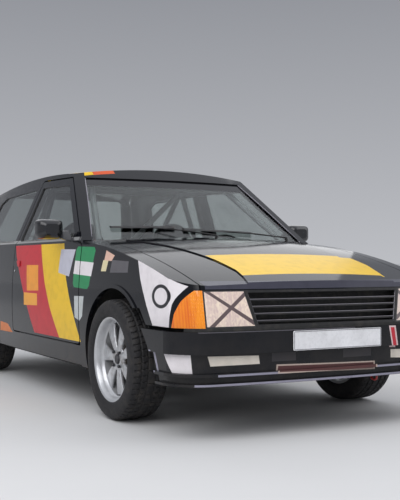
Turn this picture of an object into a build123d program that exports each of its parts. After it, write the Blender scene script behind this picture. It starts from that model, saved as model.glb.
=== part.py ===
from build123d import *
from math import asin, cos, degrees, radians, sin
import os

# Rally-prepared three-door hatchback, millimetres.
# +X points forward, +Y to the car's left, +Z up; the origin is on the ground below the middle of the car.

# Wheels and axles
front_axle_x = 1190.0
rear_axle_x = -1210.0
wheel_plane_y = 705.0
tyre_radius = 303.0
tyre_width = 205.0
bead_radius = 205.0
rim_lip_radius = 219.0
bead_half_width = 84.0
rim_wall = 8.0
spoke_count = 7
hub_radius = 72.0
disc_radius = 128.0
stub_radius = 25.0
kingpin_y = 550.0

# Clearances
seat_gap = 0.3
panel_gap = 6.0
door_gap = 8.6

# Sheet and wall thicknesses
skin = 18.0
pillar = 60.0
door_skin = 20.0
door_depth = 75.0
door_frame_depth = 42.0
flange_step = 25.0
glass_thickness = 5.0
glass_inset = 8.0
liner_wall = 4.0
floor_wall = 12.0
lamp_depth = 30.0
bumper_wall = 35.0
tailgate_wall = 30.0

# Body side: profile across the car as (distance from the middle, height)
widest_y = 795.0
arch_lip_height = 7.0
arch_lip_width = 20.0
side_profile = [
    (764.0, 150.0),
    (795.0, 545.0),
    (771.0, 912.0),
    (754.0, 932.0),
    (574.0, 1390.0),
    (560.0, 1430.0),
]
side_plan_radius = 50000.0
side_half_length = 2100.0
body_flare = 0.06
bumper_flare = 0.02

# Room that the cutting blocks take up
block_inner_y = -1000.0
block_half_width = 1000.0
block_length = 4500.0
block_low_z = 200.0
block_height = 1300.0
roof_block_depth = 1400.0
deck_block_depth = 900.0
deck_low_x = 400.0
deck_high_x = 2250.0
screen_reach_down = 700.0
screen_reach_up = 650.0

# Roof, deck and screens
roof_top_z = 1400.0
roof_peak_x = -450.0
roof_length_radius = 9000.0
roof_crown_radius = 4000.0
roof_panel_thickness = 20.0
roof_rear_x = -1478.0
deck_points = [(800.0, 930.0), (1350.0, 852.0), (1900.0, 704.0)]
deck_crown_radius = 9500.0
screen_base_x = 794.0
screen_base_z = 930.0
screen_plan_radius = 2540.0
screen_run = 537.0
screen_rise = 390.0
screen_header_z = 1308.0
screen_frame_depth = 30.0
rear_screen_base_x = -1790.0
rear_screen_base_z = 930.0
rear_screen_plan_radius = 3200.0
rear_screen_run = 300.0
rear_screen_rise = 420.0
stub_z = 915.0

# Plan of each end as (x, y) of the middle, shoulder, corner and flank
nose_lean = 0.19
nose_lean_z = 496.0
corner_share = 0.55
nose_points = [(1957.0, 0.0), (1927.0, 620.0), (1886.0, 700.0), (1776.0, 768.0)]
bumper_points = [(1985.0, 0.0), (1953.0, 640.0), (1905.0, 740.0), (1790.0, 799.0)]
tail_points = [(-1938.0, 0.0), (-1908.0, 610.0), (-1872.0, 700.0), (-1776.0, 766.0)]
rear_bumper_points = [(-1985.0, 0.0), (-1953.0, 640.0), (-1905.0, 740.0), (-1790.0, 799.0)]

# Heights
sill_bottom_z = 222.0
floor_z = 205.0
boot_floor_z = 420.0
lamp_bottom_z = 498.0
lamp_top_z = 664.0
bumper_bottom_z = 385.0
bumper_top_z = 484.0
spoiler_bottom_z = 245.0
rear_bumper_bottom_z = 330.0
rear_bumper_top_z = 500.0

# Wheel arches and their liners
arch_radius = 357.0
rear_arch_radius = 350.0
liner_radius = 398.0
rear_liner_radius = 362.0
front_liner_y = 430.0
rear_liner_y = 575.0
liner_bottom_z = 290.0

# Doors: outlines in the side view as (x, z)
bulkhead_x = 745.0
door_front_x = bulkhead_x - door_gap
hinge_x = 685.0
hinge_y = 770.0
hinge_heights = [430.0, 760.0]
hinge_pin_radius = 4.0
door_outline = [
    (door_front_x, 345.0),
    (door_front_x, 880.0),
    (690.0, 908.0),
    (175.0, 1305.0),
    (-375.0, 1322.0),
    (-438.0, 900.0),
    (-445.0, 345.0),
]
door_lower_outline = [(door_front_x, 345.0), (door_front_x, 899.0), (-438.0, 899.0), (-445.0, 345.0)]
door_window = [(596.0, 925.0), (160.0, 1263.0), (-338.0, 1279.0), (-390.0, 925.0)]
quarter_window = [
    (-508.0, 925.0),
    (-450.0, 1276.0),
    (-1150.0, 1262.0),
    (-1255.0, 1225.0),
    (-1400.0, 960.0),
    (-1390.0, 925.0),
]
door_corner = 26.0
post_relief_x = 660.0
post_relief_y = 753.0
post_relief_low_z = 869.0
post_relief_high_z = 912.0
window_corner = 18.0

# Raised middle of the bonnet as (x, y) of its left edge
bonnet_panel = [
    (850.0, 556.0),
    (966.0, 525.0),
    (1171.0, 466.0),
    (1287.0, 441.0),
    (1435.0, 415.0),
    (1553.0, 397.0),
    (1735.0, 387.0),
    (1824.0, 402.0),
    (2050.0, 470.0),
]
bonnet_raise = 6.0

# Bonnet, tailgate and lamps: outlines in the plan (x, y), front (y, z) or side view (x, z)
bonnet_rear_x = 850.0
bonnet_front_half_width = 655.0
bonnet_rear_half_width = 672.0
tailgate_outline = [
    (525.0, 505.0),
    (525.0, 812.0),
    (664.0, 826.0),
    (648.0, 925.0),
    (500.0, 1345.0),
    (498.0, 1420.0),
]
tailgate_window = [(560.0, 955.0), (452.0, 1290.0)]
tail_lamp_outline = [(535.0, 642.0), (900.0, 642.0), (900.0, 800.0), (535.0, 800.0)]
tail_lamp_front_x = -1832.0
headlamp_outline = [(405.0, 498.0), (652.0, 498.0), (652.0, 664.0), (450.0, 664.0)]
indicator_outline = [
    (1797.0, 498.0),
    (1806.0, 560.0),
    (1830.0, 615.0),
    (1866.0, 664.0),
    (2050.0, 664.0),
    (2050.0, 498.0),
]
indicator_inner_y = 652.3
grille_bar = 11.0
grille_slat_heights = [524.0, 556.0, 588.0, 620.0]
grille_slat_height = 9.0
grille_outline = [(404.0, 498.0), (448.5, 664.0), (-448.5, 664.0), (-404.0, 498.0)]
body_side_outline = [
    (745.0, 222.0),
    (745.0, 1430.0),
    (-2050.0, 1430.0),
    (-2050.0, 500.0),
    (-1400.0, 500.0),
    (-1400.0, 222.0),
]
arch_mouth = [
    (front_axle_x, 200.0),
    (front_axle_x, 560.0),
    (1487.0, 573.0),
    (1629.0, 410.0),
    (1712.0, 254.0),
    (1735.0, 200.0),
]
scuttle_half_width = 640.0
scuttle_corner_y = 716.0
screen_glass_bottom_z = 905.0
mirror_foot = [(560.0, 908.0), (470.0, 975.0), (430.0, 975.0), (430.0, 940.0), (500.0, 908.0)]
mirror_front = [(775.0, 920.0), (935.0, 925.0), (940.0, 1035.0), (780.0, 1040.0)]

# Limits beyond the car, for cuts that run right through
far_x = 2100.0
far_y = 950.0
far_z = 1500.0
inner_y = 300.0

# Bands of the front spoiler as (bottom, top, set back from the bumper face)
spoiler_steps = [(300.0, 385.0, 22.0), (286.0, 300.0, 4.0), (256.0, 286.0, 24.0), (spoiler_bottom_z, 256.0, -2.0)]
grille_depth = 22.0
wiper_height = 6.0

# Wipers as (y, z) of the blade ends and (x, y, z) of spindle, elbow and blade middle
wiper_blades = [((-561.0, 990.0), (-178.0, 995.0)), ((-129.0, 984.0), (336.0, 968.0))]
wiper_arms = [
    ((806.0, 41.0, 948.0), (765.0, -160.0, 975.0), (684.0, -370.0, 993.0)),
    ((768.0, 560.0, 942.0), (764.0, 330.0, 962.0), (732.0, 104.0, 976.0)),
]

# Wheel details; the blade in its two views as (distance from the axle, half width) and (distance, height)
spoke_face_y = 52.0
spoke_depth = 20.0
blade_outline = [(48.0, 24.0), (105.0, 25.0), (150.0, 33.0), (194.0, 48.0)]
blade_profile = [
    (48.0, 50.0),
    (80.0, 54.0),
    (150.0, 62.0),
    (194.0, 60.0),
    (194.0, 44.0),
    (150.0, 43.0),
    (72.0, 32.0),
    (48.0, 32.0),
]
hub_cap_radius = 27.0
hub_cap_depth = 5.0
bolt_seat_radius = 11.0
bolt_seat_depth = 9.0
lip_thickness = 6.0
well_depth = 14.0
well_half_width = 40.0
tyre_profile = [
    (rim_lip_radius + 3.0, bead_half_width),
    (rim_lip_radius + 14.0, tyre_width / 2 - 6.5),
    (tyre_radius - 48.0, tyre_width / 2),
    (tyre_radius - 23.0, tyre_width / 2 - 2.5),
    (tyre_radius - 8.0, tyre_width / 2 - 10.5),
    (tyre_radius, tyre_width / 2 - 24.0),
]
pcd = 108.0
bolt_count = 4
bolt_start = 45.0
spoke_start = -20.0
bolt_hole_radius = 7.0
hub_length = 66.0
disc_thickness = 12.0
hub_shoulder = 4.0
hub_bore_depth = 6.0
caliper_outline = [(1045.0, 250.0), (1110.0, 250.0), (1110.0, 360.0), (1045.0, 360.0)]
caliper_corner = 8.0
caliper_inner = 20.0
caliper_outer = 22.0
caliper_room = 3.0

# Cabin
cage_x = -500.0
cage_floor_y = 640.0
cage_top_y = 500.0
cage_top_z = 1288.0
cage_tube_radius = 19.0
dash_half_width = 590.0
dash_profile = [
    (745.7, 600.0),
    (745.7, 862.0),
    (640.0, 885.0),
    (470.0, 850.0),
    (420.0, 780.0),
    (450.0, 700.0),
    (560.0, 600.0),
]
column_start = (560.0, 350.0, 700.0)
column_end = (330.0, 350.0, 800.0)
steering_wheel_radius = 160.0
seat_y = 345.0
seat_half_width = 230.0
seat_bottom_z = 290.0
seat_profile = [
    (130.0, 290.0),
    (150.0, 450.0),
    (100.0, 470.0),
    (-170.0, 430.0),
    (-330.0, 1060.0),
    (-420.0, 1050.0),
    (-270.0, 290.0),
]
seat_corner = 36.0
seat_rail_starts = [-230.0, 60.0]
seat_rail_length = 40.0
seat_rail_inset = 30.0

# Cage tubes as (start, end) of the left or middle run of each
cage_knee_z = 860.0
cage_bend = 70.0
cage_header = (150.0, 478.0, 1268.0)
cage_elbow = (640.0, 628.0, 905.0)
cage_shoulder = (cage_x, cage_top_y - 20.0, cage_top_z - 8.0)
cage_side_tubes = [
    (cage_shoulder, cage_header),
    (cage_header, cage_elbow),
    (cage_elbow, (690.0, 640.0, 223.0)),
    (cage_shoulder, (-1330.0, 440.0, 438.0)),
]
cage_cross_tubes = [
    ((150.0, -478.0, 1268.0), cage_header),
    ((cage_x, -cage_floor_y, 620.0), (cage_x, cage_floor_y, 620.0)),
    ((cage_x, -cage_floor_y, 240.0), (cage_x, cage_top_y - 40.0, cage_top_z - 10.0)),
]

# Dashboard and steering
dash_corner = 24.0
column_radius = 24.0
boss_radius = 34.0
boss_height = 22.0
grip_radius = 14.0
grip_sides = 8
grip_height = 16.0
wheel_spoke_count = 3
wheel_spoke_start = 90.0
wheel_spoke_length = 180.0
wheel_spoke_middle = 85.0
wheel_spoke_width = 26.0
wheel_spoke_height = 14.0
wheel_spoke_thickness = 4.0

# Front knuckle: boxes as (x low, x high, y low, y high, z low, z high) and rods as (y, z, y, z, radius)
stub_inner_y = wheel_plane_y + spoke_face_y - spoke_depth - hub_length
stub_end_y = stub_inner_y + hub_length - 10.0
tower_top_z = 776.0
tower_radius = 72.0
tower_hole_radius = 68.0
tower_low_z = 690.0
knuckle_boxes = [
    (1152.0, 1228.0, stub_inner_y - 40.0, stub_inner_y - 5.0, 205.0, 400.0),
    (1166.0, 1214.0, kingpin_y, stub_inner_y - 20.0, 340.0, 400.0),
    (1170.0, 1210.0, kingpin_y - 16.0, stub_inner_y - 20.0, 205.0, 232.0),
    (1110.0, 1190.0, stub_inner_y - 30.0, stub_inner_y - 8.0, 270.0, 330.0),
]
knuckle_rods = [
    (stub_inner_y - 22.0, tyre_radius, stub_end_y, tyre_radius, stub_radius - seat_gap),
    (kingpin_y, 330.0, kingpin_y, 640.0, 26.0),
    (kingpin_y, 640.0, kingpin_y, 760.0, 56.0),
    (kingpin_y, 690.0, kingpin_y, 700.0, 62.0),
    (kingpin_y, 760.0, kingpin_y, tower_top_z - seat_gap, 22.0),
]

# Engine and gearbox, front subframe and lower arms
engine_boxes = [(1130.0, 1560.0, -300.0, 180.0, 300.0, 735.0), (1200.0, 1500.0, 180.0, 390.0, 300.0, 560.0)]
engine_corner = 18.0
subframe_boxes = [
    (1010.0, 1110.0, -380.0, 380.0, 217.0, 260.0),
    (1110.0, 1400.0, 330.0, 360.0, 222.0, 252.0),
    (1110.0, 1400.0, -360.0, -330.0, 222.0, 252.0),
    (1340.0, 1400.0, -360.0, 360.0, 222.0, 252.0),
]
arm_tip_y = kingpin_y + 20.0
arm_outlines = [
    [(1130.0, 355.0), (1215.0, arm_tip_y), (1165.0, arm_tip_y), (1080.0, 370.0)],
    [(1340.0, 355.0), (1215.0, arm_tip_y), (1165.0, arm_tip_y), (1290.0, 355.0)],
]
lower_arm_low_z = 176.0
lower_arm_high_z = 196.0
arm_pivots = [(1100.0, 362.0), (1325.0, 345.0)]
arm_pivot_top_z = 222.0
ball_joint_z = 180.0
ball_joint_top_z = 205.0 - seat_gap
arm_pin_radius = 12.0

# Drive shafts
gearbox_faces = [(1, 390.0), (-1, 300.0)]
shaft_x = front_axle_x + 60.0
shaft_z = 330.0
joint_cup_radius = 38.0
joint_cup_length = 60.0
shaft_radius = 12.0
shaft_end_y = kingpin_y + 2.0

# Rear beam and trailing arms as (start, end, radius), ahead of the rear axle as the floor's end is
floor_rear_x = rear_axle_x + 310.0
rear_rods = [
    ((floor_rear_x - 30.0, 470.0, 270.0), (rear_axle_x, 540.0, tyre_radius), 22.0),
    ((rear_axle_x, 505.0, tyre_radius), (rear_axle_x, stub_end_y, tyre_radius), stub_radius - seat_gap),
    ((rear_axle_x, 505.0, tyre_radius), (rear_axle_x, stub_inner_y - 5.0, tyre_radius), 42.0),
    ((rear_axle_x - 40.0, 540.0, tyre_radius), (rear_axle_x - 60.0, 540.0, 415.9), 20.0),
]
rear_beam_start = (rear_axle_x + 200.0, -490.0, 275.0)
rear_beam_end = (rear_axle_x + 200.0, 490.0, 275.0)
rear_beam_radius = 30.0

# Exhaust as (start, end, radius), its silencer, and the fuel tank
pipe_radius = 24.0
pipe_z = floor_z - pipe_radius - seat_gap
exhaust_rods = [
    ((1230.0, 60.0, pipe_z - pipe_radius), (1230.0, 60.0, 300.0 - seat_gap), pipe_radius),
    ((1230.0, 60.0, pipe_z), (floor_rear_x - 30.0, 60.0, pipe_z), pipe_radius),
    ((floor_rear_x - 25.0, 60.0, pipe_z), (rear_axle_x - 170.0, 60.0, 345.0), pipe_radius),
    ((rear_axle_x - 165.0, 60.0, 345.0), (-1510.0, 110.0, 345.0), pipe_radius),
    ((-1880.0, 130.0, 310.0), (-2000.0, 130.0, 305.0), 22.0),
]
silencer_rear_x = -1880.0
silencer_place = (130.0, 345.0)
silencer_width = 150.0
silencer_height = 120.0
silencer_length = 380.0
silencer_corner = 40.0
tank_low = (-1850.0, -450.0, 300.0)
tank_high = (-1450.0, 20.0, boot_floor_z)
tank_corner = 40.0

# Floor, jacking pads, bulkhead, nose panel and radiator
boot_rear_x = -1950.0
jack_pads = [(430.0, 520.0), (floor_rear_x + 190.0, floor_rear_x + 280.0)]
jack_pad_inner_y = 610.0
jack_pad_outer_y = 670.0
jack_pad_z = 196.0
bulkhead_wall = 12.0
seam = 1.0
nose_panel_x = 1856.0
nose_panel_wall = 12.0
radiator_x = 1830.0
radiator_outline = [(-330.0, 390.0), (330.0, 390.0), (330.0, 640.0), (-330.0, 640.0)]
radiator_corner = 20.0
front_cut_x = 1800.0
lamp_cut_x = 1700.0
bumper_cut_x = 1400.0
bumper_cut_z = 600.0
below_z = 200.0
rear_cut_x = -1700.0
rear_panel_low_z = 345.0
flange_low_z = 495.0
flange_high_z = 890.0
flange_wall = 8.0
slat_set_back = 4.0
cabin_front_x = 600.0
cabin_high_z = 1000.0
scuttle_low_z = 700.0
tailgate_corner = 12.0
rear_glass_corner = 40.0
lip_spoiler_outline = [
    (-1840.0, stub_z),
    (-1925.0, stub_z),
    (-1942.0, 952.0),
    (-1930.0, 956.0),
    (-1850.0, 925.0),
]
lip_spoiler_half_width = 600.0
mirror_foot_inner_y = 745.0
mirror_foot_outer_y = 790.0
mirror_rear_x = 425.0
mirror_front_x = 505.0
mirror_corner = 14.0

# Door hinges: the pocket in the door and the arm on the bulkhead
hinge_pocket = (hinge_x - 9.0, 713.0, 690.0, hinge_y + 7.0)
hinge_pocket_half = 10.0
hinge_bore_half = 28.0
hinge_pin_half = 26.0
hinge_arm_half = 7.0
hinge_arm_reach = 4.0
hinge_arm_inner_y = 695.0
hinge_arm_outer_y = 705.0
hinge_arm_root_y = 700.0
hinge_room = 70.0

# Wheel housings
tower_wall_height = 90.0
tower_plate = 6.0
apron_wall = 6.0
apron_low_z = 390.0
apron_high_z = 860.0
housing_front_x = 1650.0
rear_housing_low_x = -1600.0
rear_housing_high_x = -800.0
rear_arm_room = (rear_axle_x - 70.0, rear_axle_x + 300.0, below_z, 360.0)

# Wiper spindle, arm and blade sizes
wiper_spindle_radius = 8.0
wiper_spindle_length = 32.0
wiper_arm_radius = 4.5
wiper_link_radius = 3.5
wiper_half_height = 6.0
wiper_cut_x = 400.0


def side_block(inset):
    """Everything inboard of the left body side, moved in by inset."""
    axis_y = widest_y - side_plan_radius
    half = degrees(asin(side_half_length / side_plan_radius))
    turn = radians(90 - half)
    across = Vector(cos(turn), sin(turn), 0)
    plane = Plane(origin=(0, axis_y, 0), x_dir=across, z_dir=across.cross(Vector(0, 0, 1)))
    points = [(y - inset - axis_y, z) for y, z in side_profile]
    inner = block_inner_y - axis_y
    with BuildPart() as block:
        with BuildSketch(plane):
            with BuildLine():
                ThreePointArc(points[0], points[1], points[2])
                Polyline(*points[2:], (inner, points[-1][1]), (inner, points[0][1]), points[0])
            make_face()
        revolve(axis=Axis((0, axis_y, 0), (0, 0, 1)), revolution_arc=2 * half)
    return block.part


def both_sides(inset):
    """The room between the two body sides, each moved in by inset."""
    left = side_block(inset)
    return left & mirror(left, about=Plane.XZ)


def crowned_block(axis_x, axis_z, radius, crown_radius, depth, x_low, x_high):
    """A block under a surface that is an arc along the car and a flatter crown across it."""
    start = degrees(asin((x_low - axis_x) / radius))
    end = degrees(asin((x_high - axis_x) / radius))
    up = Vector(sin(radians(start)), 0, cos(radians(start)))
    plane = Plane(origin=(axis_x, 0, axis_z), x_dir=(0, 1, 0), z_dir=Vector(0, 1, 0).cross(up))
    edge = radius - block_half_width**2 / (2 * crown_radius)
    bottom = radius - depth
    with BuildPart() as block:
        with BuildSketch(plane):
            with BuildLine():
                ThreePointArc((-block_half_width, edge), (0, radius), (block_half_width, edge))
                Polyline(
                    (block_half_width, edge),
                    (block_half_width, bottom),
                    (-block_half_width, bottom),
                    (-block_half_width, edge),
                )
            make_face()
        revolve(axis=Axis((axis_x, 0, axis_z), (0, 1, 0)), revolution_arc=end - start)
    return block.part


def roof_block(inset):
    """Everything below the roof surface, moved down by inset."""
    return crowned_block(
        roof_peak_x,
        roof_top_z - roof_length_radius,
        roof_length_radius - inset,
        roof_crown_radius,
        roof_block_depth,
        roof_peak_x - side_half_length,
        roof_peak_x + side_half_length,
    )


def deck_circle():
    """Radius and centre (x, z) of the bonnet line seen from the side, through deck_points."""
    (x1, z1), (x2, z2), (x3, z3) = deck_points
    a = 2 * (x2 - x1)
    b = 2 * (z2 - z1)
    c = 2 * (x3 - x1)
    d = 2 * (z3 - z1)
    e = x2**2 + z2**2 - x1**2 - z1**2
    f = x3**2 + z3**2 - x1**2 - z1**2
    det = a * d - b * c
    x = (e * d - b * f) / det
    z = (a * f - e * c) / det
    return ((x1 - x) ** 2 + (z1 - z) ** 2) ** 0.5, x, z


def deck_block(inset):
    """Everything below the bonnet and wing tops, moved down by inset."""
    radius, x, z = deck_circle()
    return crowned_block(x, z, radius - inset, deck_crown_radius, deck_block_depth, deck_low_x, deck_high_x)


def plan_shape(points, low, high, corner=0.0, mode=Mode.ADD):
    """A prism from a plan outline in (x, y), between two heights."""
    with BuildSketch(Plane.XY.offset(low)) as outline:
        Polygon(*points, align=None)
        if corner:
            fillet(outline.vertices(), corner)
    extrude(outline.sketch, amount=high - low, mode=mode)


def side_shape(points, low, high, corner=0.0, grow=0.0, mode=Mode.ADD):
    """A prism from a side view outline in (x, z), between two y values, grown outwards by grow."""
    with BuildSketch(Plane.XZ.offset(-high)) as outline:
        Polygon(*points, align=None)
        if corner:
            fillet(outline.vertices(), corner)
        if grow:
            offset(amount=grow, kind=Kind.INTERSECTION)
    extrude(outline.sketch, amount=high - low, mode=mode)


def front_shape(points, low, high, corner=0.0, grow=0.0, mode=Mode.ADD):
    """A prism from a front view outline in (y, z), between two x values, grown outwards by grow."""
    with BuildSketch(Plane.YZ.offset(low)) as outline:
        Polygon(*points, align=None)
        if corner:
            fillet(outline.vertices(), corner)
        if grow:
            offset(amount=grow, kind=Kind.INTERSECTION)
    extrude(outline.sketch, amount=high - low, mode=mode)


def box_shape(x_low, x_high, y_low, y_high, z_low, z_high, mode=Mode.ADD):
    """A box between the given limits."""
    plan_shape([(x_low, y_low), (x_high, y_low), (x_high, y_high), (x_low, y_high)], z_low, z_high, mode=mode)


def rod(start, end, radius, mode=Mode.ADD):
    """A round bar between two points."""
    along = Vector(*end) - Vector(*start)
    with BuildSketch(Plane(origin=start, z_dir=along)) as outline:
        Circle(radius)
    extrude(outline.sketch, amount=along.length, mode=mode)


def wheel_disc(axle_x, radius, low, high, mode=Mode.ADD):
    """A round prism across the car about an axle, between two y values."""
    with BuildSketch(Plane.XZ.offset(-high)) as outline:
        with Locations((axle_x, tyre_radius)):
            Circle(radius)
    extrude(outline.sketch, amount=high - low, mode=mode)


def slope_block(base_x, base_z, run, rise, plan_radius, inset):
    """Everything behind a screen that leans back and is bowed in plan, moved in by inset square to it."""
    slope = Vector(-run, 0, rise)
    shift = inset * slope.length / rise
    below = screen_reach_down / rise
    origin_x = base_x - shift + run * below
    sag = block_half_width**2 / (2 * plan_radius)
    with BuildPart() as block:
        with BuildSketch(Plane(origin=(origin_x, 0, base_z - screen_reach_down))):
            with BuildLine():
                ThreePointArc((-sag, -block_half_width), (0, 0), (-sag, block_half_width))
                Polyline(
                    (-sag, block_half_width),
                    (-block_length, block_half_width),
                    (-block_length, -block_half_width),
                    (-sag, -block_half_width),
                )
            make_face()
        extrude(amount=slope.length * (below + screen_reach_up / rise), dir=slope.normalized())
    return block.part


def screen_block(inset):
    """Everything behind the windscreen surface, moved in by inset."""
    return slope_block(screen_base_x, screen_base_z, screen_run, screen_rise, screen_plan_radius, inset)


def rear_screen_block(inset):
    """Everything ahead of the rear screen surface, moved in by inset."""
    block = slope_block(
        -rear_screen_base_x,
        rear_screen_base_z,
        rear_screen_run,
        rear_screen_rise,
        rear_screen_plan_radius,
        inset,
    )
    return mirror(block, about=Plane.YZ)


def end_block(points, inset, low, height, lean, flare):
    """A prism with a bowed front and rounded plan corners, leaning back by lean per unit of height.

    points are the (x, y) middle, shoulder, corner and flank of its left half; inset moves them inwards.
    """
    front, shoulder, corner, flank = points
    slant = Vector(-lean, 0, 1)
    half = inset * sin(radians(45))
    edge = (shoulder[0] - inset, shoulder[1] - inset * corner_share)
    bend = (corner[0] - half, corner[1] - half)
    side = (flank[0] - inset * corner_share, flank[1] - inset)
    outer = side[1] + flare * block_length
    with BuildPart() as block:
        with BuildSketch(Plane.XY.offset(low)):
            with BuildLine():
                ThreePointArc((edge[0], -edge[1]), (front[0] - inset, 0), edge)
                ThreePointArc(edge, bend, side)
                Polyline(side, (-block_length, outer), (-block_length, -outer), (side[0], -side[1]))
                ThreePointArc((side[0], -side[1]), (bend[0], -bend[1]), (edge[0], -edge[1]))
            make_face()
        extrude(amount=slant.length * height, dir=slant.normalized())
    return block.part


def nose_block(inset):
    """Everything behind the front face above the bumper, with rounded corners."""
    rise = nose_lean_z - block_low_z
    points = [(x + nose_lean * rise, y) for x, y in nose_points]
    return end_block(points, inset, block_low_z, block_height, nose_lean, body_flare)


def bumper_block(inset, low, high):
    """The front bumper's plan between two heights."""
    return end_block(bumper_points, inset, low, high - low, 0, bumper_flare)


def tail_block(inset):
    """Everything ahead of the upright tail panel, with rounded corners."""
    points = [(-x, y) for x, y in tail_points]
    return mirror(end_block(points, inset, block_low_z, block_height, 0, body_flare), about=Plane.YZ)


def rear_bumper_block(inset, low, high):
    """The rear bumper's plan between two heights."""
    points = [(-x, y) for x, y in rear_bumper_points]
    return mirror(end_block(points, inset, low, high - low, 0, bumper_flare), about=Plane.YZ)


def stub_block(inset):
    """Everything below the short stub deck behind the rear screen."""
    with BuildPart() as block:
        box_shape(-block_length, 0, -block_half_width, block_half_width, 0, stub_z - inset)
    return block.part


def rear_block(inset):
    """The rear of the car: screen above, stub deck and upright tail below."""
    return (rear_screen_block(inset) + stub_block(inset)) & tail_block(inset)


def clip(inset):
    """The front body forward of the windscreen, moved in by inset."""
    return both_sides(inset) & deck_block(inset) & nose_block(inset)


def symmetric(points):
    """A closed front view outline from its left half."""
    return points + [(-y, z) for y, z in reversed(points)]


side_outer = side_block(0)
side_wall = side_outer - side_block(pillar)
side_sheet = side_outer - side_block(door_skin)
side_frame = side_outer - side_block(door_frame_depth)
side_depth = side_outer - side_block(door_depth)
glass_sheet = side_block(glass_inset) - side_block(glass_inset + glass_thickness)
cabin_width = both_sides(pillar)
body_roof = roof_block(0)
roof_inside = roof_block(roof_panel_thickness)
body_screen = screen_block(0)
body_rear = rear_block(0)
body_rear_inside = rear_block(tailgate_wall)
front_outer = clip(0)
front_inside = clip(skin)
front_shell = front_outer - front_inside
front_fit = clip(skin + seat_gap)
lamp_room = clip(lamp_depth + seat_gap) & front_fit
front_liners = both_sides(skin + seat_gap)
bumper_top_trim = rear_bumper_top_z - seat_gap
rear_bumper_shell = rear_bumper_block(0, rear_bumper_bottom_z, bumper_top_trim) - rear_bumper_block(
    bumper_wall, rear_bumper_bottom_z, bumper_top_trim
)
front_bumper_shell = bumper_block(0, bumper_bottom_z, bumper_top_z) - bumper_block(
    bumper_wall, bumper_bottom_z, bumper_top_z
)
spoiler_shells = [
    bumper_block(set_back, low, high) - bumper_block(set_back + bumper_wall, low, high)
    for low, high, set_back in spoiler_steps
]
grille_shell = nose_block(0) - nose_block(grille_depth)
slat_shell = nose_block(slat_set_back) - nose_block(grille_depth)
rear_glass_sheet = rear_screen_block(glass_inset) - rear_screen_block(glass_inset + glass_thickness)
tailgate_solid = (body_rear & body_roof) - (body_rear_inside & roof_block(tailgate_wall))
tailgate_seat = rear_block(tailgate_wall + seat_gap) - rear_block(tailgate_wall + flange_wall)
rear_panel_shell = (body_rear - body_rear_inside) & cabin_width
screen_sheet = screen_block(glass_inset) - screen_block(glass_inset + glass_thickness)
screen_frame = body_screen - screen_block(screen_frame_depth)
side_clear = side_block(-seat_gap)
deck_clear = deck_block(-seat_gap)
glass_clear = screen_block(glass_inset - seat_gap)
wiper_sheet = screen_block(-wiper_height) - screen_block(glass_inset - seat_gap)
lamp_shell = front_outer - clip(lamp_depth)
arch_lip = side_block(-arch_lip_height) - side_block(skin / 2)
bonnet_rise_shell = (deck_block(-bonnet_raise) - deck_block(bonnet_raise)) & nose_block(0)
tail_corner = (tail_block(0) & both_sides(0)) - (tail_block(lamp_depth) & both_sides(lamp_depth))

# Openings that several pieces share
with BuildPart() as front_arch:
    wheel_disc(front_axle_x, arch_radius, front_liner_y, far_y)
    side_shape(arch_mouth, front_liner_y, far_y)

# Rolled lips round the wheel openings
with BuildPart() as front_lip:
    add(arch_lip)
    wheel_disc(front_axle_x, arch_radius + arch_lip_width, inner_y, far_y, mode=Mode.INTERSECT)
    wheel_disc(front_axle_x, arch_radius - arch_lip_width, inner_y, far_y, mode=Mode.SUBTRACT)
    box_shape(
        bulkhead_x + panel_gap, far_x, inner_y, far_y, sill_bottom_z, far_z, mode=Mode.INTERSECT
    )
    box_shape(bumper_cut_x, far_x, inner_y, far_y, below_z, lamp_bottom_z, mode=Mode.SUBTRACT)
    add(front_arch.part, mode=Mode.SUBTRACT)

with BuildPart() as rear_lip:
    add(arch_lip)
    wheel_disc(rear_axle_x, rear_arch_radius + arch_lip_width, inner_y, far_y, mode=Mode.INTERSECT)
    wheel_disc(rear_axle_x, rear_arch_radius - arch_lip_width, inner_y, far_y, mode=Mode.SUBTRACT)

# Raised middle of the bonnet
with BuildPart() as bonnet_rise:
    add(bonnet_rise_shell)
    plan_shape(
        bonnet_panel + [(x, -y) for x, y in reversed(bonnet_panel)], bumper_top_z, far_z, mode=Mode.INTERSECT
    )

with BuildPart() as bonnet_hole:
    plan_shape(
        [
            (bonnet_rear_x - panel_gap, -bonnet_rear_half_width - panel_gap),
            (bonnet_rear_x - panel_gap, bonnet_rear_half_width + panel_gap),
            (far_x, bonnet_front_half_width + panel_gap),
            (far_x, -bonnet_front_half_width - panel_gap),
        ],
        bumper_top_z,
        far_z,
    )

with BuildPart() as door_hole:
    add(side_outer)
    add(side_block(door_skin + seat_gap), mode=Mode.SUBTRACT)
    side_shape(door_outline, inner_y, far_y, door_corner, door_gap, mode=Mode.INTERSECT)
    side_shape(door_outline, inner_y, far_y, door_corner, door_gap - flange_step)
    box_shape(
        hinge_x - hinge_room,
        bulkhead_x + hinge_room,
        inner_y,
        far_y,
        door_outline[0][1] - door_gap,
        door_outline[1][1],
    )

with BuildPart() as tailgate_hole:
    front_shape(symmetric(tailgate_outline), -far_x, roof_rear_x, tailgate_corner, panel_gap)

# Lamps
with BuildPart() as headlamps:
    add(lamp_shell)
    front_shape(headlamp_outline, lamp_cut_x, far_x, mode=Mode.INTERSECT)
    mirror(about=Plane.XZ)

with BuildPart() as indicators:
    add(lamp_shell)
    side_shape(indicator_outline, indicator_inner_y, far_y, mode=Mode.INTERSECT)
    mirror(about=Plane.XZ)

with BuildPart() as tail_lamps:
    add(tail_corner)
    front_shape(tail_lamp_outline, -far_x, tail_lamp_front_x, mode=Mode.INTERSECT)
    mirror(about=Plane.XZ)

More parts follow.
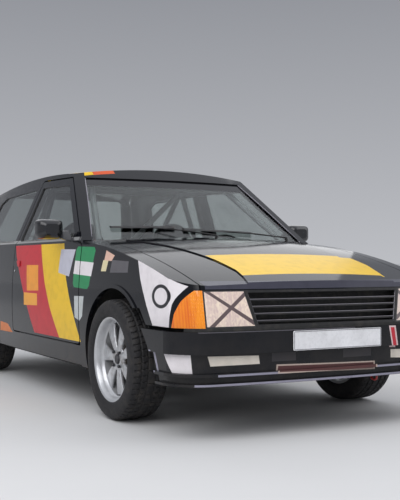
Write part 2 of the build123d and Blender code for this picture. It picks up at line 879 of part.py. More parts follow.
# Body sides: quarter panel, sill, pillars and cant rail
with BuildPart() as body_side_left:
    add(side_wall)
    add(rear_lip.part)
    add(body_roof, mode=Mode.INTERSECT)
    add(body_screen, mode=Mode.INTERSECT)
    add(body_rear, mode=Mode.INTERSECT)
    side_shape(body_side_outline, inner_y, far_y, mode=Mode.INTERSECT)
    add(door_hole.part, mode=Mode.SUBTRACT)
    side_shape(quarter_window, inner_y, far_y, window_corner, mode=Mode.SUBTRACT)
    wheel_disc(rear_axle_x, rear_arch_radius, inner_y, far_y, mode=Mode.SUBTRACT)
    add(tailgate_hole.part, mode=Mode.SUBTRACT)
    add(tail_lamps.part, mode=Mode.SUBTRACT)
    box_shape(
        post_relief_x,
        bulkhead_x + seam,
        inner_y,
        post_relief_y,
        post_relief_low_z,
        post_relief_high_z,
        mode=Mode.SUBTRACT,
    )

# Roof, windscreen and scuttle
with BuildPart() as roof_panel:
    add(body_roof - roof_inside)
    add(cabin_width, mode=Mode.INTERSECT)
    add(body_screen, mode=Mode.INTERSECT)
    box_shape(roof_rear_x, cabin_front_x, -far_y, far_y, cabin_high_z, far_z, mode=Mode.INTERSECT)

with BuildPart() as windscreen_surround:
    add(screen_frame)
    add(cabin_width, mode=Mode.INTERSECT)
    add(roof_inside, mode=Mode.INTERSECT)
    box_shape(0, cabin_front_x, -far_y, far_y, screen_header_z, far_z, mode=Mode.INTERSECT)

with BuildPart() as scuttle_limit:
    box_shape(
        bulkhead_x + seam,
        bonnet_rear_x - panel_gap,
        -scuttle_half_width,
        scuttle_half_width,
        scuttle_low_z,
        far_z,
    )
    box_shape(bulkhead_x + seam, screen_base_x, -scuttle_corner_y, scuttle_corner_y, scuttle_low_z, far_z)
with BuildPart() as scuttle:
    add(front_shell - body_screen)
    add(scuttle_limit.part, mode=Mode.INTERSECT)

with BuildPart() as windscreen:
    add(screen_sheet)
    add(cabin_width, mode=Mode.INTERSECT)
    box_shape(0, bonnet_rear_x, -far_y, far_y, screen_glass_bottom_z, screen_header_z, mode=Mode.INTERSECT)

with BuildPart() as quarter_glass:
    add(glass_sheet)
    side_shape(quarter_window, inner_y, far_y, window_corner, mode=Mode.INTERSECT)
    mirror(about=Plane.XZ)

# Doors
with BuildPart() as door_left:
    add(side_frame)
    side_shape(door_outline, inner_y, far_y, door_corner, -flange_step, mode=Mode.INTERSECT)
door_frame_part = door_left.part
with BuildPart() as door_box:
    add(side_depth)
    side_shape(door_lower_outline, inner_y, far_y, 0, -flange_step, mode=Mode.INTERSECT)
with BuildPart() as door_left:
    add(side_sheet)
    side_shape(door_outline, inner_y, far_y, door_corner, mode=Mode.INTERSECT)
    add(door_frame_part)
    add(door_box.part)
    side_shape(door_window, inner_y, far_y, window_corner, mode=Mode.SUBTRACT)
    for height in hinge_heights:
        box_shape(*hinge_pocket, height - hinge_pocket_half, height + hinge_pocket_half, mode=Mode.SUBTRACT)
        rod(
            (hinge_x, hinge_y, height - hinge_bore_half),
            (hinge_x, hinge_y, height + hinge_bore_half),
            hinge_pin_radius + seat_gap,
            mode=Mode.SUBTRACT,
        )

with BuildPart() as door_glass_left:
    add(glass_sheet)
    side_shape(door_window, inner_y, far_y, window_corner, mode=Mode.INTERSECT)

with BuildPart() as door_mirror_left:
    side_shape(mirror_foot, mirror_foot_inner_y, mirror_foot_outer_y)
    front_shape(mirror_front, mirror_rear_x, mirror_front_x, mirror_corner)
    add(side_clear, mode=Mode.SUBTRACT)

# Front wings
with BuildPart() as front_wing_left:
    add(front_shell)
    box_shape(bulkhead_x, far_x, inner_y, far_y, sill_bottom_z, far_z, mode=Mode.INTERSECT)
    add(bonnet_hole.part, mode=Mode.SUBTRACT)
    add(scuttle.part, mode=Mode.SUBTRACT)
    box_shape(cabin_front_x, screen_base_x, inner_y, scuttle_corner_y, scuttle_low_z, far_z, mode=Mode.SUBTRACT)
    side_shape(indicator_outline, inner_y, far_y, mode=Mode.SUBTRACT)
    box_shape(bumper_cut_x, far_x, inner_y, far_y, below_z, lamp_bottom_z, mode=Mode.SUBTRACT)
    add(front_arch.part, mode=Mode.SUBTRACT)
    add(front_lip.part)

# Bonnet
with BuildPart() as bonnet:
    add(front_shell)
    plan_shape(
        [
            (bonnet_rear_x, -bonnet_rear_half_width),
            (bonnet_rear_x, bonnet_rear_half_width),
            (far_x, bonnet_front_half_width),
            (far_x, -bonnet_front_half_width),
        ],
        lamp_top_z + seat_gap,
        far_z,
        mode=Mode.INTERSECT,
    )
    add(bonnet_rise.part)

# Nose panel with the slam rail, the shelf under the lamps and the radiator
with BuildPart() as front_panel:
    box_shape(nose_panel_x, nose_panel_x + nose_panel_wall, -far_y, far_y, bumper_bottom_z + seam, far_z)
    add(lamp_room, mode=Mode.INTERSECT)
    front_shape(radiator_outline, front_cut_x, far_x, radiator_corner, mode=Mode.SUBTRACT)
with BuildPart() as shelf:
    box_shape(nose_panel_x, far_x, -far_y, far_y, bumper_top_z + seat_gap, lamp_bottom_z)
    add(front_outer, mode=Mode.INTERSECT)
with BuildPart() as front_panel_whole:
    add(front_panel.part)
    add(shelf.part)
with BuildPart() as radiator:
    front_shape(radiator_outline, radiator_x, nose_panel_x + nose_panel_wall)

# Grille
with BuildPart() as grille:
    add(grille_shell)
    front_shape(grille_outline, front_cut_x, far_x, mode=Mode.INTERSECT)
    front_shape(grille_outline, front_cut_x, far_x, 0, -grille_bar, mode=Mode.SUBTRACT)
with BuildPart() as slats:
    add(slat_shell)
    with BuildSketch(Plane.YZ.offset(front_cut_x)):
        for height in grille_slat_heights:
            with Locations((0, height)):
                Rectangle(block_half_width, grille_slat_height)
    extrude(amount=far_x - front_cut_x, mode=Mode.INTERSECT)
    front_shape(grille_outline, front_cut_x, far_x, 0, -grille_bar, mode=Mode.INTERSECT)
with BuildPart() as grille_whole:
    add(grille.part)
    add(slats.part)

# Bumpers
with BuildPart() as front_bumper:
    add(front_bumper_shell)
    box_shape(bumper_cut_x, far_x, -far_y, far_y, below_z, bumper_cut_z, mode=Mode.INTERSECT)
    add(front_arch.part, mode=Mode.SUBTRACT)
    add(mirror(front_arch.part, about=Plane.XZ), mode=Mode.SUBTRACT)

with BuildPart() as front_spoiler:
    for shell in spoiler_shells:
        add(shell)
    box_shape(bumper_cut_x, far_x, -far_y, far_y, below_z, bumper_cut_z, mode=Mode.INTERSECT)
    add(front_arch.part, mode=Mode.SUBTRACT)
    add(mirror(front_arch.part, about=Plane.XZ), mode=Mode.SUBTRACT)

with BuildPart() as rear_bumper:
    add(rear_bumper_shell)
    box_shape(-far_x, -bumper_cut_x, -far_y, far_y, below_z, bumper_cut_z, mode=Mode.INTERSECT)
    wheel_disc(rear_axle_x, rear_arch_radius, -far_y, far_y, mode=Mode.SUBTRACT)

# Tailgate
with BuildPart() as tailgate:
    add(tailgate_solid)
    tailgate_front_x = roof_rear_x - panel_gap
    front_shape(symmetric(tailgate_outline), -far_x, tailgate_front_x, tailgate_corner, mode=Mode.INTERSECT)
    front_shape(symmetric(tailgate_window), -far_x, roof_rear_x, rear_glass_corner, mode=Mode.SUBTRACT)

with BuildPart() as rear_glass:
    add(rear_glass_sheet)
    front_shape(symmetric(tailgate_window), -far_x, roof_rear_x, rear_glass_corner, mode=Mode.INTERSECT)
    box_shape(-far_x, roof_rear_x, -far_y, far_y, stub_z, far_z, mode=Mode.INTERSECT)

with BuildPart() as tailgate_spoiler:
    side_shape(lip_spoiler_outline, -lip_spoiler_half_width, lip_spoiler_half_width)

with BuildPart() as seal_flange:
    add(tailgate_seat)
    opening = symmetric(tailgate_outline)
    front_shape(opening, -far_x, rear_cut_x, tailgate_corner, panel_gap + flange_wall, mode=Mode.INTERSECT)
    front_shape(opening, -far_x, rear_cut_x, tailgate_corner, -flange_step, mode=Mode.SUBTRACT)
    box_shape(-far_x, rear_cut_x, -far_y, far_y, flange_low_z, flange_high_z, mode=Mode.INTERSECT)
with BuildPart() as rear_panel:
    add(rear_panel_shell)
    box_shape(-far_x, rear_cut_x, -far_y, far_y, rear_panel_low_z, side_profile[3][1], mode=Mode.INTERSECT)
    add(tailgate_hole.part, mode=Mode.SUBTRACT)
    add(tail_lamps.part, mode=Mode.SUBTRACT)
with BuildPart() as rear_panel_whole:
    add(rear_panel.part)
    add(seal_flange.part)

# Floor, bulkhead and wheel housings
with BuildPart() as floor_pan:
    box_shape(floor_rear_x, bulkhead_x, -far_y, far_y, floor_z, floor_z + floor_wall)
    add(cabin_width, mode=Mode.INTERSECT)
    box_shape(floor_rear_x, floor_rear_x + floor_wall, -rear_liner_y, rear_liner_y, floor_z, boot_floor_z)
    for pad_start, pad_end in jack_pads:
        box_shape(pad_start, pad_end, jack_pad_inner_y, jack_pad_outer_y, jack_pad_z, floor_z)
        box_shape(pad_start, pad_end, -jack_pad_outer_y, -jack_pad_inner_y, jack_pad_z, floor_z)
with BuildPart() as boot_floor:
    box_shape(boot_rear_x, floor_rear_x + floor_wall, -far_y, far_y, boot_floor_z, boot_floor_z + floor_wall)
    add(body_rear_inside, mode=Mode.INTERSECT)
    add(cabin_width, mode=Mode.INTERSECT)
    wheel_disc(rear_axle_x, rear_liner_radius + liner_wall, rear_liner_y, far_y, mode=Mode.SUBTRACT)
    wheel_disc(rear_axle_x, rear_liner_radius + liner_wall, -far_y, -rear_liner_y, mode=Mode.SUBTRACT)
with BuildPart() as floor_whole:
    add(floor_pan.part)
    add(boot_floor.part)

with BuildPart() as bulkhead:
    box_shape(bulkhead_x + seam, bulkhead_x + seam + bulkhead_wall, -far_y, far_y, floor_z, far_z)
    add(front_fit, mode=Mode.INTERSECT)

with BuildPart() as wheel_housings:
    wheel_disc(front_axle_x, liner_radius + liner_wall, front_liner_y, far_y)
    wheel_disc(front_axle_x, liner_radius, front_liner_y, far_y, mode=Mode.SUBTRACT)
    box_shape(
        bulkhead_x + bulkhead_wall + 2 * seam,
        housing_front_x,
        inner_y,
        far_y,
        liner_bottom_z,
        far_z,
        mode=Mode.INTERSECT,
    )
    add(front_liners, mode=Mode.INTERSECT)
    with BuildSketch(Plane.XY.offset(tower_low_z)):
        with Locations((front_axle_x, kingpin_y)):
            Circle(tower_hole_radius)
    extrude(amount=tower_wall_height, mode=Mode.SUBTRACT)
with BuildPart() as aprons:
    box_shape(
        bulkhead_x + seam + bulkhead_wall,
        nose_panel_x,
        front_liner_y - apron_wall,
        front_liner_y,
        apron_low_z,
        apron_high_z,
    )
    add(front_fit, mode=Mode.INTERSECT)
with BuildPart() as tower:
    with BuildSketch(Plane.XY.offset(tower_low_z)):
        with Locations((front_axle_x, kingpin_y)):
            Circle(tower_radius)
            Circle(tower_hole_radius, mode=Mode.SUBTRACT)
    extrude(amount=tower_wall_height)
    with BuildSketch(Plane.XY.offset(tower_top_z)):
        with Locations((front_axle_x, kingpin_y)):
            Circle(tower_radius)
    extrude(amount=tower_plate)
with BuildPart() as rear_housing:
    wheel_disc(rear_axle_x, rear_liner_radius + liner_wall, rear_liner_y, far_y)
    wheel_disc(rear_axle_x, rear_liner_radius, rear_liner_y + liner_wall, far_y, mode=Mode.SUBTRACT)
    box_shape(
        rear_housing_low_x, rear_housing_high_x, inner_y, far_y, liner_bottom_z, far_z, mode=Mode.INTERSECT
    )
    add(cabin_width, mode=Mode.INTERSECT)
    room_start, room_end, room_low, room_high = rear_arm_room
    box_shape(room_start, room_end, inner_y, far_y, room_low, room_high, mode=Mode.SUBTRACT)
with BuildPart() as housings_left:
    add(wheel_housings.part)
    add(aprons.part)
    add(tower.part)
with BuildPart() as housings:
    add(housings_left.part)
    add(rear_housing.part)
    mirror(about=Plane.XZ)

# Hinge arms of the doors, carried by the bulkhead
with BuildPart() as bulkhead_whole:
    add(bulkhead.part)
    for height in hinge_heights:
        arm_low_z = height - hinge_arm_half
        arm_high_z = height + hinge_arm_half
        arm_start_x = hinge_x - hinge_arm_reach
        box_shape(
            arm_start_x, bulkhead_x + 2 * seam, hinge_arm_inner_y, hinge_arm_outer_y, arm_low_z, arm_high_z
        )
        box_shape(arm_start_x, hinge_x + hinge_arm_reach, hinge_arm_root_y, hinge_y, arm_low_z, arm_high_z)
        rod(
            (hinge_x, hinge_y, height - hinge_pin_half),
            (hinge_x, hinge_y, height + hinge_pin_half),
            hinge_pin_radius,
        )
    mirror(about=Plane.XZ)

# Wipers
with BuildPart() as wipers:
    add(wiper_sheet)
    with BuildSketch(Plane.YZ.offset(wiper_cut_x)):
        for (start_y, start_z), (end_y, end_z) in wiper_blades:
            with BuildLine():
                Polyline(
                    (start_y, start_z - wiper_half_height),
                    (end_y, end_z - wiper_half_height),
                    (end_y, end_z + wiper_half_height),
                    (start_y, start_z + wiper_half_height),
                    close=True,
                )
            make_face()
    extrude(amount=cabin_front_x, mode=Mode.INTERSECT)
    for spindle, elbow, middle in wiper_arms:
        foot = (spindle[0], spindle[1], spindle[2] - wiper_spindle_length)
        rod(foot, spindle, wiper_spindle_radius)
        rod(spindle, elbow, wiper_arm_radius)
        rod(elbow, middle, wiper_link_radius)
    add(deck_clear, mode=Mode.SUBTRACT)
    add(glass_clear, mode=Mode.SUBTRACT)


# Wheels: a tyre and a rim with its brake disc, about an axis across the car
def tyre():
    """The tyre at the origin, with its axis along Y."""
    outer = [(y, radius) for radius, y in tyre_profile]
    inner = [(-y, radius) for y, radius in reversed(outer)]
    with BuildPart() as ring:
        with BuildSketch(Plane.YZ):
            with BuildLine():
                Polyline(
                    *outer, *inner, (-bead_half_width, bead_radius), (bead_half_width, bead_radius), close=True
                )
            make_face()
        revolve(axis=Axis.Y)
    return ring.part


def blade():
    """One wheel blade along +X: its side view cut to its tapered front view."""
    width = blade_outline[-1][1]
    with BuildPart() as bar:
        with BuildSketch(Plane.XY.offset(-width)):
            Polygon(*blade_profile, align=None)
        extrude(amount=2 * width)
        with BuildSketch(Plane.XZ.offset(-rim_lip_radius)) as front:
            Polygon(*blade_outline, *[(x, -z) for x, z in reversed(blade_outline)], align=None)
        extrude(front.sketch, amount=2 * rim_lip_radius, mode=Mode.INTERSECT)
    return bar.part


def rim(spoke):
    """The rim at the origin, with its axis along Y and its face to +Y."""
    seat = bead_radius - seat_gap
    lip_y = bead_half_width + seat_gap
    inner = seat - rim_wall
    with BuildPart() as wheel:
        with BuildSketch(Plane.YZ):
            with BuildLine():
                Polyline(
                    (lip_y, seat),
                    (lip_y, rim_lip_radius),
                    (lip_y + lip_thickness, rim_lip_radius),
                    (lip_y + lip_thickness, inner),
                    (well_half_width, inner - well_depth),
                    (-well_half_width, inner - well_depth),
                    (-lip_y - lip_thickness, inner),
                    (-lip_y - lip_thickness, rim_lip_radius),
                    (-lip_y, rim_lip_radius),
                    (-lip_y, seat),
                    close=True,
                )
            make_face()
        revolve(axis=Axis.Y)
        with BuildSketch(Plane.XZ.offset(-spoke_face_y)):
            Circle(hub_radius)
        extrude(amount=spoke_depth)
        for index in range(spoke_count):
            add(Rot(0, 360.0 * index / spoke_count + spoke_start, 0) * spoke)
        with BuildSketch(Plane.XZ.offset(-spoke_face_y)):
            with PolarLocations(pcd / 2, bolt_count, start_angle=bolt_start):
                Circle(bolt_hole_radius)
        extrude(amount=spoke_depth, mode=Mode.SUBTRACT)
        with BuildSketch(Plane.XZ.offset(-spoke_face_y)):
            with PolarLocations(pcd / 2, bolt_count, start_angle=bolt_start):
                Circle(bolt_seat_radius)
        extrude(amount=bolt_seat_depth, mode=Mode.SUBTRACT)
        with BuildSketch(Plane.XZ.offset(-spoke_face_y)):
            Circle(hub_cap_radius)
        extrude(amount=-hub_cap_depth)
    return wheel.part


with BuildPart() as hub:
    with BuildSketch(Plane.XZ.offset(-(spoke_face_y - spoke_depth))):
        Circle(hub_radius - hub_shoulder)
    extrude(amount=hub_length)
    with BuildSketch(Plane.XZ.offset(-(spoke_face_y - spoke_depth - hub_length + disc_thickness))):
        Circle(disc_radius)
    extrude(amount=disc_thickness)
    with BuildSketch(Plane.XZ.offset(-(spoke_face_y - spoke_depth - hub_bore_depth))):
        Circle(stub_radius)
    extrude(amount=disc_radius, mode=Mode.SUBTRACT)

tyre_shape = tyre()
rim_shape = rim(blade())

wheel_places = [
    ("front_left", front_axle_x, 1),
    ("front_right", front_axle_x, -1),
    ("rear_left", rear_axle_x, 1),
    ("rear_right", rear_axle_x, -1),
]

# Front knuckle with its strut, brake caliper and stub axle
with BuildPart() as knuckle:
    for limits in knuckle_boxes:
        box_shape(*limits)
    for start_y, start_z, end_y, end_z, radius in knuckle_rods:
        rod((front_axle_x, start_y, start_z), (front_axle_x, end_y, end_z), radius)
with BuildPart() as caliper:
    side_shape(
        caliper_outline,
        stub_inner_y - caliper_inner,
        stub_inner_y + disc_thickness + caliper_outer,
        caliper_corner,
    )
    wheel_disc(
        front_axle_x,
        disc_radius + hub_shoulder,
        stub_inner_y - caliper_room,
        stub_inner_y + disc_thickness + caliper_room,
        mode=Mode.SUBTRACT,
    )
with BuildPart() as knuckle_whole:
    add(knuckle.part)
    add(caliper.part)

# Engine with its gearbox
with BuildPart() as engine:
    for limits in engine_boxes:
        box_shape(*limits)
    fillet(engine.edges().filter_by(Axis.Z), engine_corner)

# Subframe, lower arms, drive shafts, rear beam and trailing arms
with BuildPart() as suspension:
    for limits in subframe_boxes:
        box_shape(*limits)
with BuildPart() as arm:
    for outline in arm_outlines:
        plan_shape(outline, lower_arm_low_z, lower_arm_high_z)
    rod((front_axle_x, kingpin_y, ball_joint_z), (front_axle_x, kingpin_y, ball_joint_top_z), arm_pin_radius)
    for pivot_x, pivot_y in arm_pivots:
        rod((pivot_x, pivot_y, lower_arm_low_z), (pivot_x, pivot_y, arm_pivot_top_z), arm_pin_radius)
with BuildPart() as shafts:
    for side, gearbox_y in gearbox_faces:
        inner = side * (gearbox_y + seat_gap)
        cup_end = inner + side * joint_cup_length
        rod((shaft_x, inner, shaft_z), (shaft_x, cup_end, shaft_z), joint_cup_radius)
        middle = inner + side * joint_cup_length / 2
        rod((shaft_x, middle, shaft_z), (front_axle_x, side * shaft_end_y, tyre_radius), shaft_radius)
with BuildPart() as rear_arm:
    for start, end, radius in rear_rods:
        rod(start, end, radius)
with BuildPart() as rear_beam:
    rod(rear_beam_start, rear_beam_end, rear_beam_radius)
with BuildPart() as suspension_front:
    add(suspension.part)
    add(arm.part)
    mirror(arm.part, about=Plane.XZ)
with BuildPart() as suspension_rear:
    add(rear_beam.part)
    add(rear_arm.part)
    mirror(rear_arm.part, about=Plane.XZ)

# Exhaust and fuel tank
with BuildPart() as exhaust:
    for start, end, radius in exhaust_rods:
        rod(start, end, radius)
    with BuildSketch(Plane.YZ.offset(silencer_rear_x)):
        with Locations(silencer_place):
            RectangleRounded(silencer_width, silencer_height, silencer_corner)
    extrude(amount=silencer_length)
with BuildPart() as fuel_tank:
    box_shape(tank_low[0], tank_high[0], tank_low[1], tank_high[1], tank_low[2], tank_high[2])
    fillet(fuel_tank.edges().filter_by(Axis.Z), tank_corner)

# Roll cage
with BuildPart() as roll_cage:
    with BuildLine() as hoop_line:
        FilletPolyline(
            (cage_x, -cage_floor_y, floor_z + floor_wall),
            (cage_x, -cage_floor_y, cage_knee_z),
            (cage_x, -cage_top_y, cage_top_z),
            (cage_x, cage_top_y, cage_top_z),
            (cage_x, cage_floor_y, cage_knee_z),
            (cage_x, cage_floor_y, floor_z + floor_wall),
            radius=cage_bend,
        )
    with BuildSketch(Plane(origin=hoop_line.line @ 0, z_dir=hoop_line.line % 0)):
        Circle(cage_tube_radius)
    sweep()
    for start, end in cage_side_tubes:
        for way in (-1, 1):
            rod((start[0], way * start[1], start[2]), (end[0], way * end[1], end[2]), cage_tube_radius)
    for start, end in cage_cross_tubes:
        rod(start, end, cage_tube_radius)
    box_shape(floor_rear_x, far_x, -far_y, far_y, 0, floor_z + floor_wall, mode=Mode.SUBTRACT)
    box_shape(-far_x, floor_rear_x, -far_y, far_y, 0, boot_floor_z + floor_wall, mode=Mode.SUBTRACT)

# Dashboard with the steering column
with BuildPart() as dashboard:
    side_shape(dash_profile, -dash_half_width, dash_half_width, dash_corner)
with BuildPart() as column:
    rod(column_end, column_start, column_radius)
with BuildPart() as dashboard_whole:
    add(dashboard.part)
    add(column.part)

# Steering wheel, square to the column
column_plane = Plane(origin=column_end, x_dir=(0, 1, 0), z_dir=Vector(*column_end) - Vector(*column_start))
grip_place = column_plane.from_local_coords((0, steering_wheel_radius, grip_height))
with BuildPart() as steering_wheel:
    with BuildSketch(column_plane.offset(seat_gap)):
        Circle(boss_radius)
    extrude(amount=boss_height)
    with BuildSketch(column_plane.offset(wheel_spoke_height)):
        with PolarLocations(wheel_spoke_middle, wheel_spoke_count, start_angle=wheel_spoke_start):
            Rectangle(wheel_spoke_length, wheel_spoke_width)
    extrude(amount=wheel_spoke_thickness)
    with BuildSketch(Plane(origin=grip_place, x_dir=column_plane.z_dir, z_dir=column_plane.x_dir)):
        RegularPolygon(grip_radius, grip_sides)
    revolve(axis=Axis(column_end, column_plane.z_dir))

# Bucket seats
with BuildPart() as seat:
    side_shape(seat_profile, seat_y - seat_half_width, seat_y + seat_half_width, seat_corner)
with BuildPart() as seats:
    add(seat.part)
    mirror(about=Plane.XZ)
with BuildPart() as seat_rails:
    for x in seat_rail_starts:
        box_shape(
            x,
            x + seat_rail_length,
            seat_y - seat_half_width + seat_rail_inset,
            seat_y + seat_half_width - seat_rail_inset,
            floor_z + floor_wall,
            seat_bottom_z,
        )
    mirror(about=Plane.XZ)

# One file for each node
with BuildPart() as front_panel_node:
    add(front_panel_whole.part)
    add(radiator.part)
with BuildPart() as floor_node:
    add(floor_whole.part)
    add(seat_rails.part)

singles = {
    "floor_pan": floor_node,
    "roof_panel": roof_panel,
    "windscreen_surround": windscreen_surround,
    "scuttle": scuttle,
    "windscreen": windscreen,
    "bulkhead": bulkhead_whole,
    "front_panel": front_panel_node,
    "grille": grille_whole,
    "headlamps": headlamps,
    "indicators": indicators,
    "front_bumper": front_bumper,
    "front_spoiler": front_spoiler,
    "engine": engine,
    "wheel_housings": housings,
    "rear_panel": rear_panel_whole,
    "rear_bumper": rear_bumper,
    "tail_lamps": tail_lamps,
    "quarter_glass": quarter_glass,
    "roll_cage": roll_cage,
    "dashboard": dashboard_whole,
    "seats": seats,
    "wipers": wipers,
    "exhaust": exhaust,
    "fuel_tank": fuel_tank,
    "front_suspension": suspension_front,
    "drive_shafts": shafts,
    "rear_suspension": suspension_rear,
    "bonnet": bonnet,
    "tailgate": tailgate,
    "rear_glass": rear_glass,
    "tailgate_spoiler": tailgate_spoiler,
    "steering_wheel": steering_wheel,
}
pairs = {
    "body_side": body_side_left,
    "front_wing": front_wing_left,
    "door": door_left,
    "door_glass": door_glass_left,
    "door_mirror": door_mirror_left,
    "front_knuckle": knuckle_whole,
}

os.makedirs("parts", exist_ok=True)
for name, piece in singles.items():
    piece.part.label = name
    export_step(piece.part, f"parts/{name}.step")
for name, piece in pairs.items():
    piece.part.label = f"{name}_left"
    export_step(piece.part, f"parts/{name}_left.step")
    twin = mirror(piece.part, about=Plane.XZ)
    twin.label = f"{name}_right"
    export_step(twin, f"parts/{name}_right.step")
for place, axle_x, way in wheel_places:
    for name, shape in (("tyre", tyre_shape), ("rim", rim_shape), ("brake_disc", hub.part)):
        facing = shape if way > 0 else mirror(shape, about=Plane.XZ)
        placed = Pos(axle_x, way * wheel_plane_y, tyre_radius) * facing
        placed.label = f"{name}_{place}"
        export_step(placed, f"parts/{name}_{place}.step")
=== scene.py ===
"""Looks of a three-door rally hatchback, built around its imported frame. Lengths are in metres."""

import logging
import math
from dataclasses import dataclass
from enum import Enum
from functools import cache

import bpy
import numpy as np
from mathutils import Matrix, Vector


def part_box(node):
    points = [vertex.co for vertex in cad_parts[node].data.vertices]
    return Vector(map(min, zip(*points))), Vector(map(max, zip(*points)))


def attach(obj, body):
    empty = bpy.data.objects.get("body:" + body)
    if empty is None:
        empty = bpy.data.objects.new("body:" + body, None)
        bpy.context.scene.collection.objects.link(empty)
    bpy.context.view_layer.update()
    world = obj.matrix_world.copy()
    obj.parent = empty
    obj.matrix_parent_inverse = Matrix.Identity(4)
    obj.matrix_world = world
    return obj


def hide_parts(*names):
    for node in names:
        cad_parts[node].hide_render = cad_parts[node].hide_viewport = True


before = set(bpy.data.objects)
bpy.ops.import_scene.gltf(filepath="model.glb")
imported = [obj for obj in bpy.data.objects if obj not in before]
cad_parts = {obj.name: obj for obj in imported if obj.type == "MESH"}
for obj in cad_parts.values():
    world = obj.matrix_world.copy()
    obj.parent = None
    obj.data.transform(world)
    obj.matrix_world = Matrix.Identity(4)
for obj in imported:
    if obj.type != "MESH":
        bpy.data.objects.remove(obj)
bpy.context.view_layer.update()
NODES: dict[str, bpy.types.Object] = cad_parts

Piece = bpy.types.Object
Socket = bpy.types.NodeSocket
Colour = tuple[float, float, float]
Point2 = tuple[float, float]
Point3 = tuple[float, float, float]
Outline = tuple[Point2, ...]
Route = tuple[Point3, ...]
Box = tuple[Point3, Point3]
Casings = tuple[tuple[Box, float, float], ...]

TAU = 2.0 * math.pi
# a mark's edge is a millimetre wide, so its distances are multiplied by this
EDGE_SHARPNESS = 1000.0
SHARP_ANGLE = math.radians(35.0)
# corners of a square whose half side is one
SQUARE = np.array([(-1.0, -1.0), (1.0, -1.0), (1.0, 1.0), (-1.0, 1.0)])
AHEAD: Point3 = (1.0, 0.0, 0.0)
LEFTWARD: Point3 = (0.0, 1.0, 0.0)
UP: Point3 = (0.0, 0.0, 1.0)
ROAD_DIRT: Colour = (0.105, 0.086, 0.068)
BODY = "car_body"

log = logging.getLogger("rally_car")


class Side(Enum):
    """The two sides of the car, with the sign of their Y."""

    LEFT = 1.0
    RIGHT = -1.0

    @property
    def word(self) -> str:
        """The side as the frame's names spell it."""
        return self.name.lower()


class Axes(Enum):
    """The two coordinates in which a mark on the paint is drawn."""

    SIDE = (0, 2)
    TOP = (0, 1)
    FRONT = (1, 2)

    def direction(self, first: float, second: float) -> Point3:
        """Direction in space of a step in the drawing.

        Args:
            first: the step along the drawing's first axis.
            second: the step along its second axis.

        Returns:
            The direction.
        """
        steps = dict(zip(self.value, (first, second)))
        return tuple(steps.get(axis, 0.0) for axis in range(3))

    @property
    def square(self) -> Point3:
        """Direction square to the drawing."""
        return tuple(float(axis not in self.value) for axis in range(3))


class Axis(Enum):
    """The axis that a turned piece is round about."""

    X = 0
    Y = 1
    Z = 2


class Corner(Enum):
    """The four wheels as (word, axle x, sign of y)."""

    FRONT_LEFT = ("front_left", 1.19, 1.0)
    FRONT_RIGHT = ("front_right", 1.19, -1.0)
    REAR_LEFT = ("rear_left", -1.21, 1.0)
    REAR_RIGHT = ("rear_right", -1.21, -1.0)

    @property
    def word(self) -> str:
        """The corner as the frame's names spell it."""
        return self.value[0]

    @property
    def sign(self) -> float:
        """The sign of the corner's Y."""
        return self.value[2]

    def centre(self, plane_y: float, axle_z: float) -> Point3:
        """The wheel's centre, from its middle plane and its axle's height."""
        return (self.value[1], self.sign * plane_y, axle_z)


# ---------------------------------------------------------------- surfaces


def add_mesh(name: str, points: np.ndarray, faces: list[list[int]], smooth: bool = True) -> Piece:
    """Puts an array of points and its faces into a new object.

    Args:
        name: the object's name.
        points: array of shape (n, 3).
        faces: lists of point numbers.
        smooth: whether the faces are shaded smooth, with edges past the sharp angle kept.

    Returns:
        The object, at the origin.
    """
    mesh = bpy.data.meshes.new(name)
    mesh.from_pydata(np.asarray(points, float).tolist(), [], faces)
    mesh.validate()
    if smooth:
        mesh.polygons.foreach_set("use_smooth", np.ones(len(mesh.polygons), bool))
        mesh.set_sharp_from_angle(angle=SHARP_ANGLE)
    mesh.update()
    thing = bpy.data.objects.new(name, mesh)
    bpy.context.scene.collection.objects.link(thing)
    return thing


def corners_of(mesh: bpy.types.Mesh) -> np.ndarray:
    """Reads a mesh's points.

    Args:
        mesh: the mesh.

    Returns:
        Array (n, 3).
    """
    co = np.empty(len(mesh.vertices) * 3)
    mesh.vertices.foreach_get("co", co)
    return co.reshape(-1, 3)


def turns(steps: int) -> np.ndarray:
    """Angles evenly spaced round one full turn."""
    return np.linspace(0.0, TAU, steps, endpoint=False)


def squared_off(wave: np.ndarray, power: float) -> np.ndarray:
    """A sine or cosine made blunt for a superellipse: its sign times its size to a power."""
    return np.sign(wave) * np.abs(wave) ** power


def grid_faces(rows: int, columns: int, close_rows: bool, close_columns: bool) -> np.ndarray:
    """Numbers the corners of a grid's quads, as whole arrays.

    Args:
        rows: number of points along the first direction.
        columns: number of points along the second direction.
        close_rows: whether the last row joins the first.
        close_columns: whether the last column joins the first.

    Returns:
        Array of shape (quads, 4).
    """
    last_row, last_column = rows - (not close_rows), columns - (not close_columns)
    i, j = np.meshgrid(np.arange(last_row), np.arange(last_column), indexing="ij")
    k, m = (i + 1) % rows, (j + 1) % columns
    quads = np.stack([i * columns + j, k * columns + j, k * columns + m, i * columns + m], -1)
    return quads.reshape(-1, 4)


def grid(
    name: str,
    points: np.ndarray,
    close_rows: bool = False,
    close_columns: bool = False,
    caps: bool = False,
) -> Piece:
    """Makes a surface of quads from a grid of points.

    Args:
        name: the object's name.
        points: array of shape (rows, columns, 3).
        close_rows: whether the last row joins the first.
        close_columns: whether the last column joins the first.
        caps: whether the first and last rows get an end face.

    Returns:
        The object, with its faces turned outwards.
    """
    rows, columns = points.shape[:2]
    faces = grid_faces(rows, columns, close_rows, close_columns).tolist()
    if caps:
        faces.append(list(range(columns)))
        faces.append(list(range((rows - 1) * columns, rows * columns)))
    thing = add_mesh(name, points.reshape(-1, 3), faces)
    return outward(thing) if caps or (close_rows and close_columns) else thing


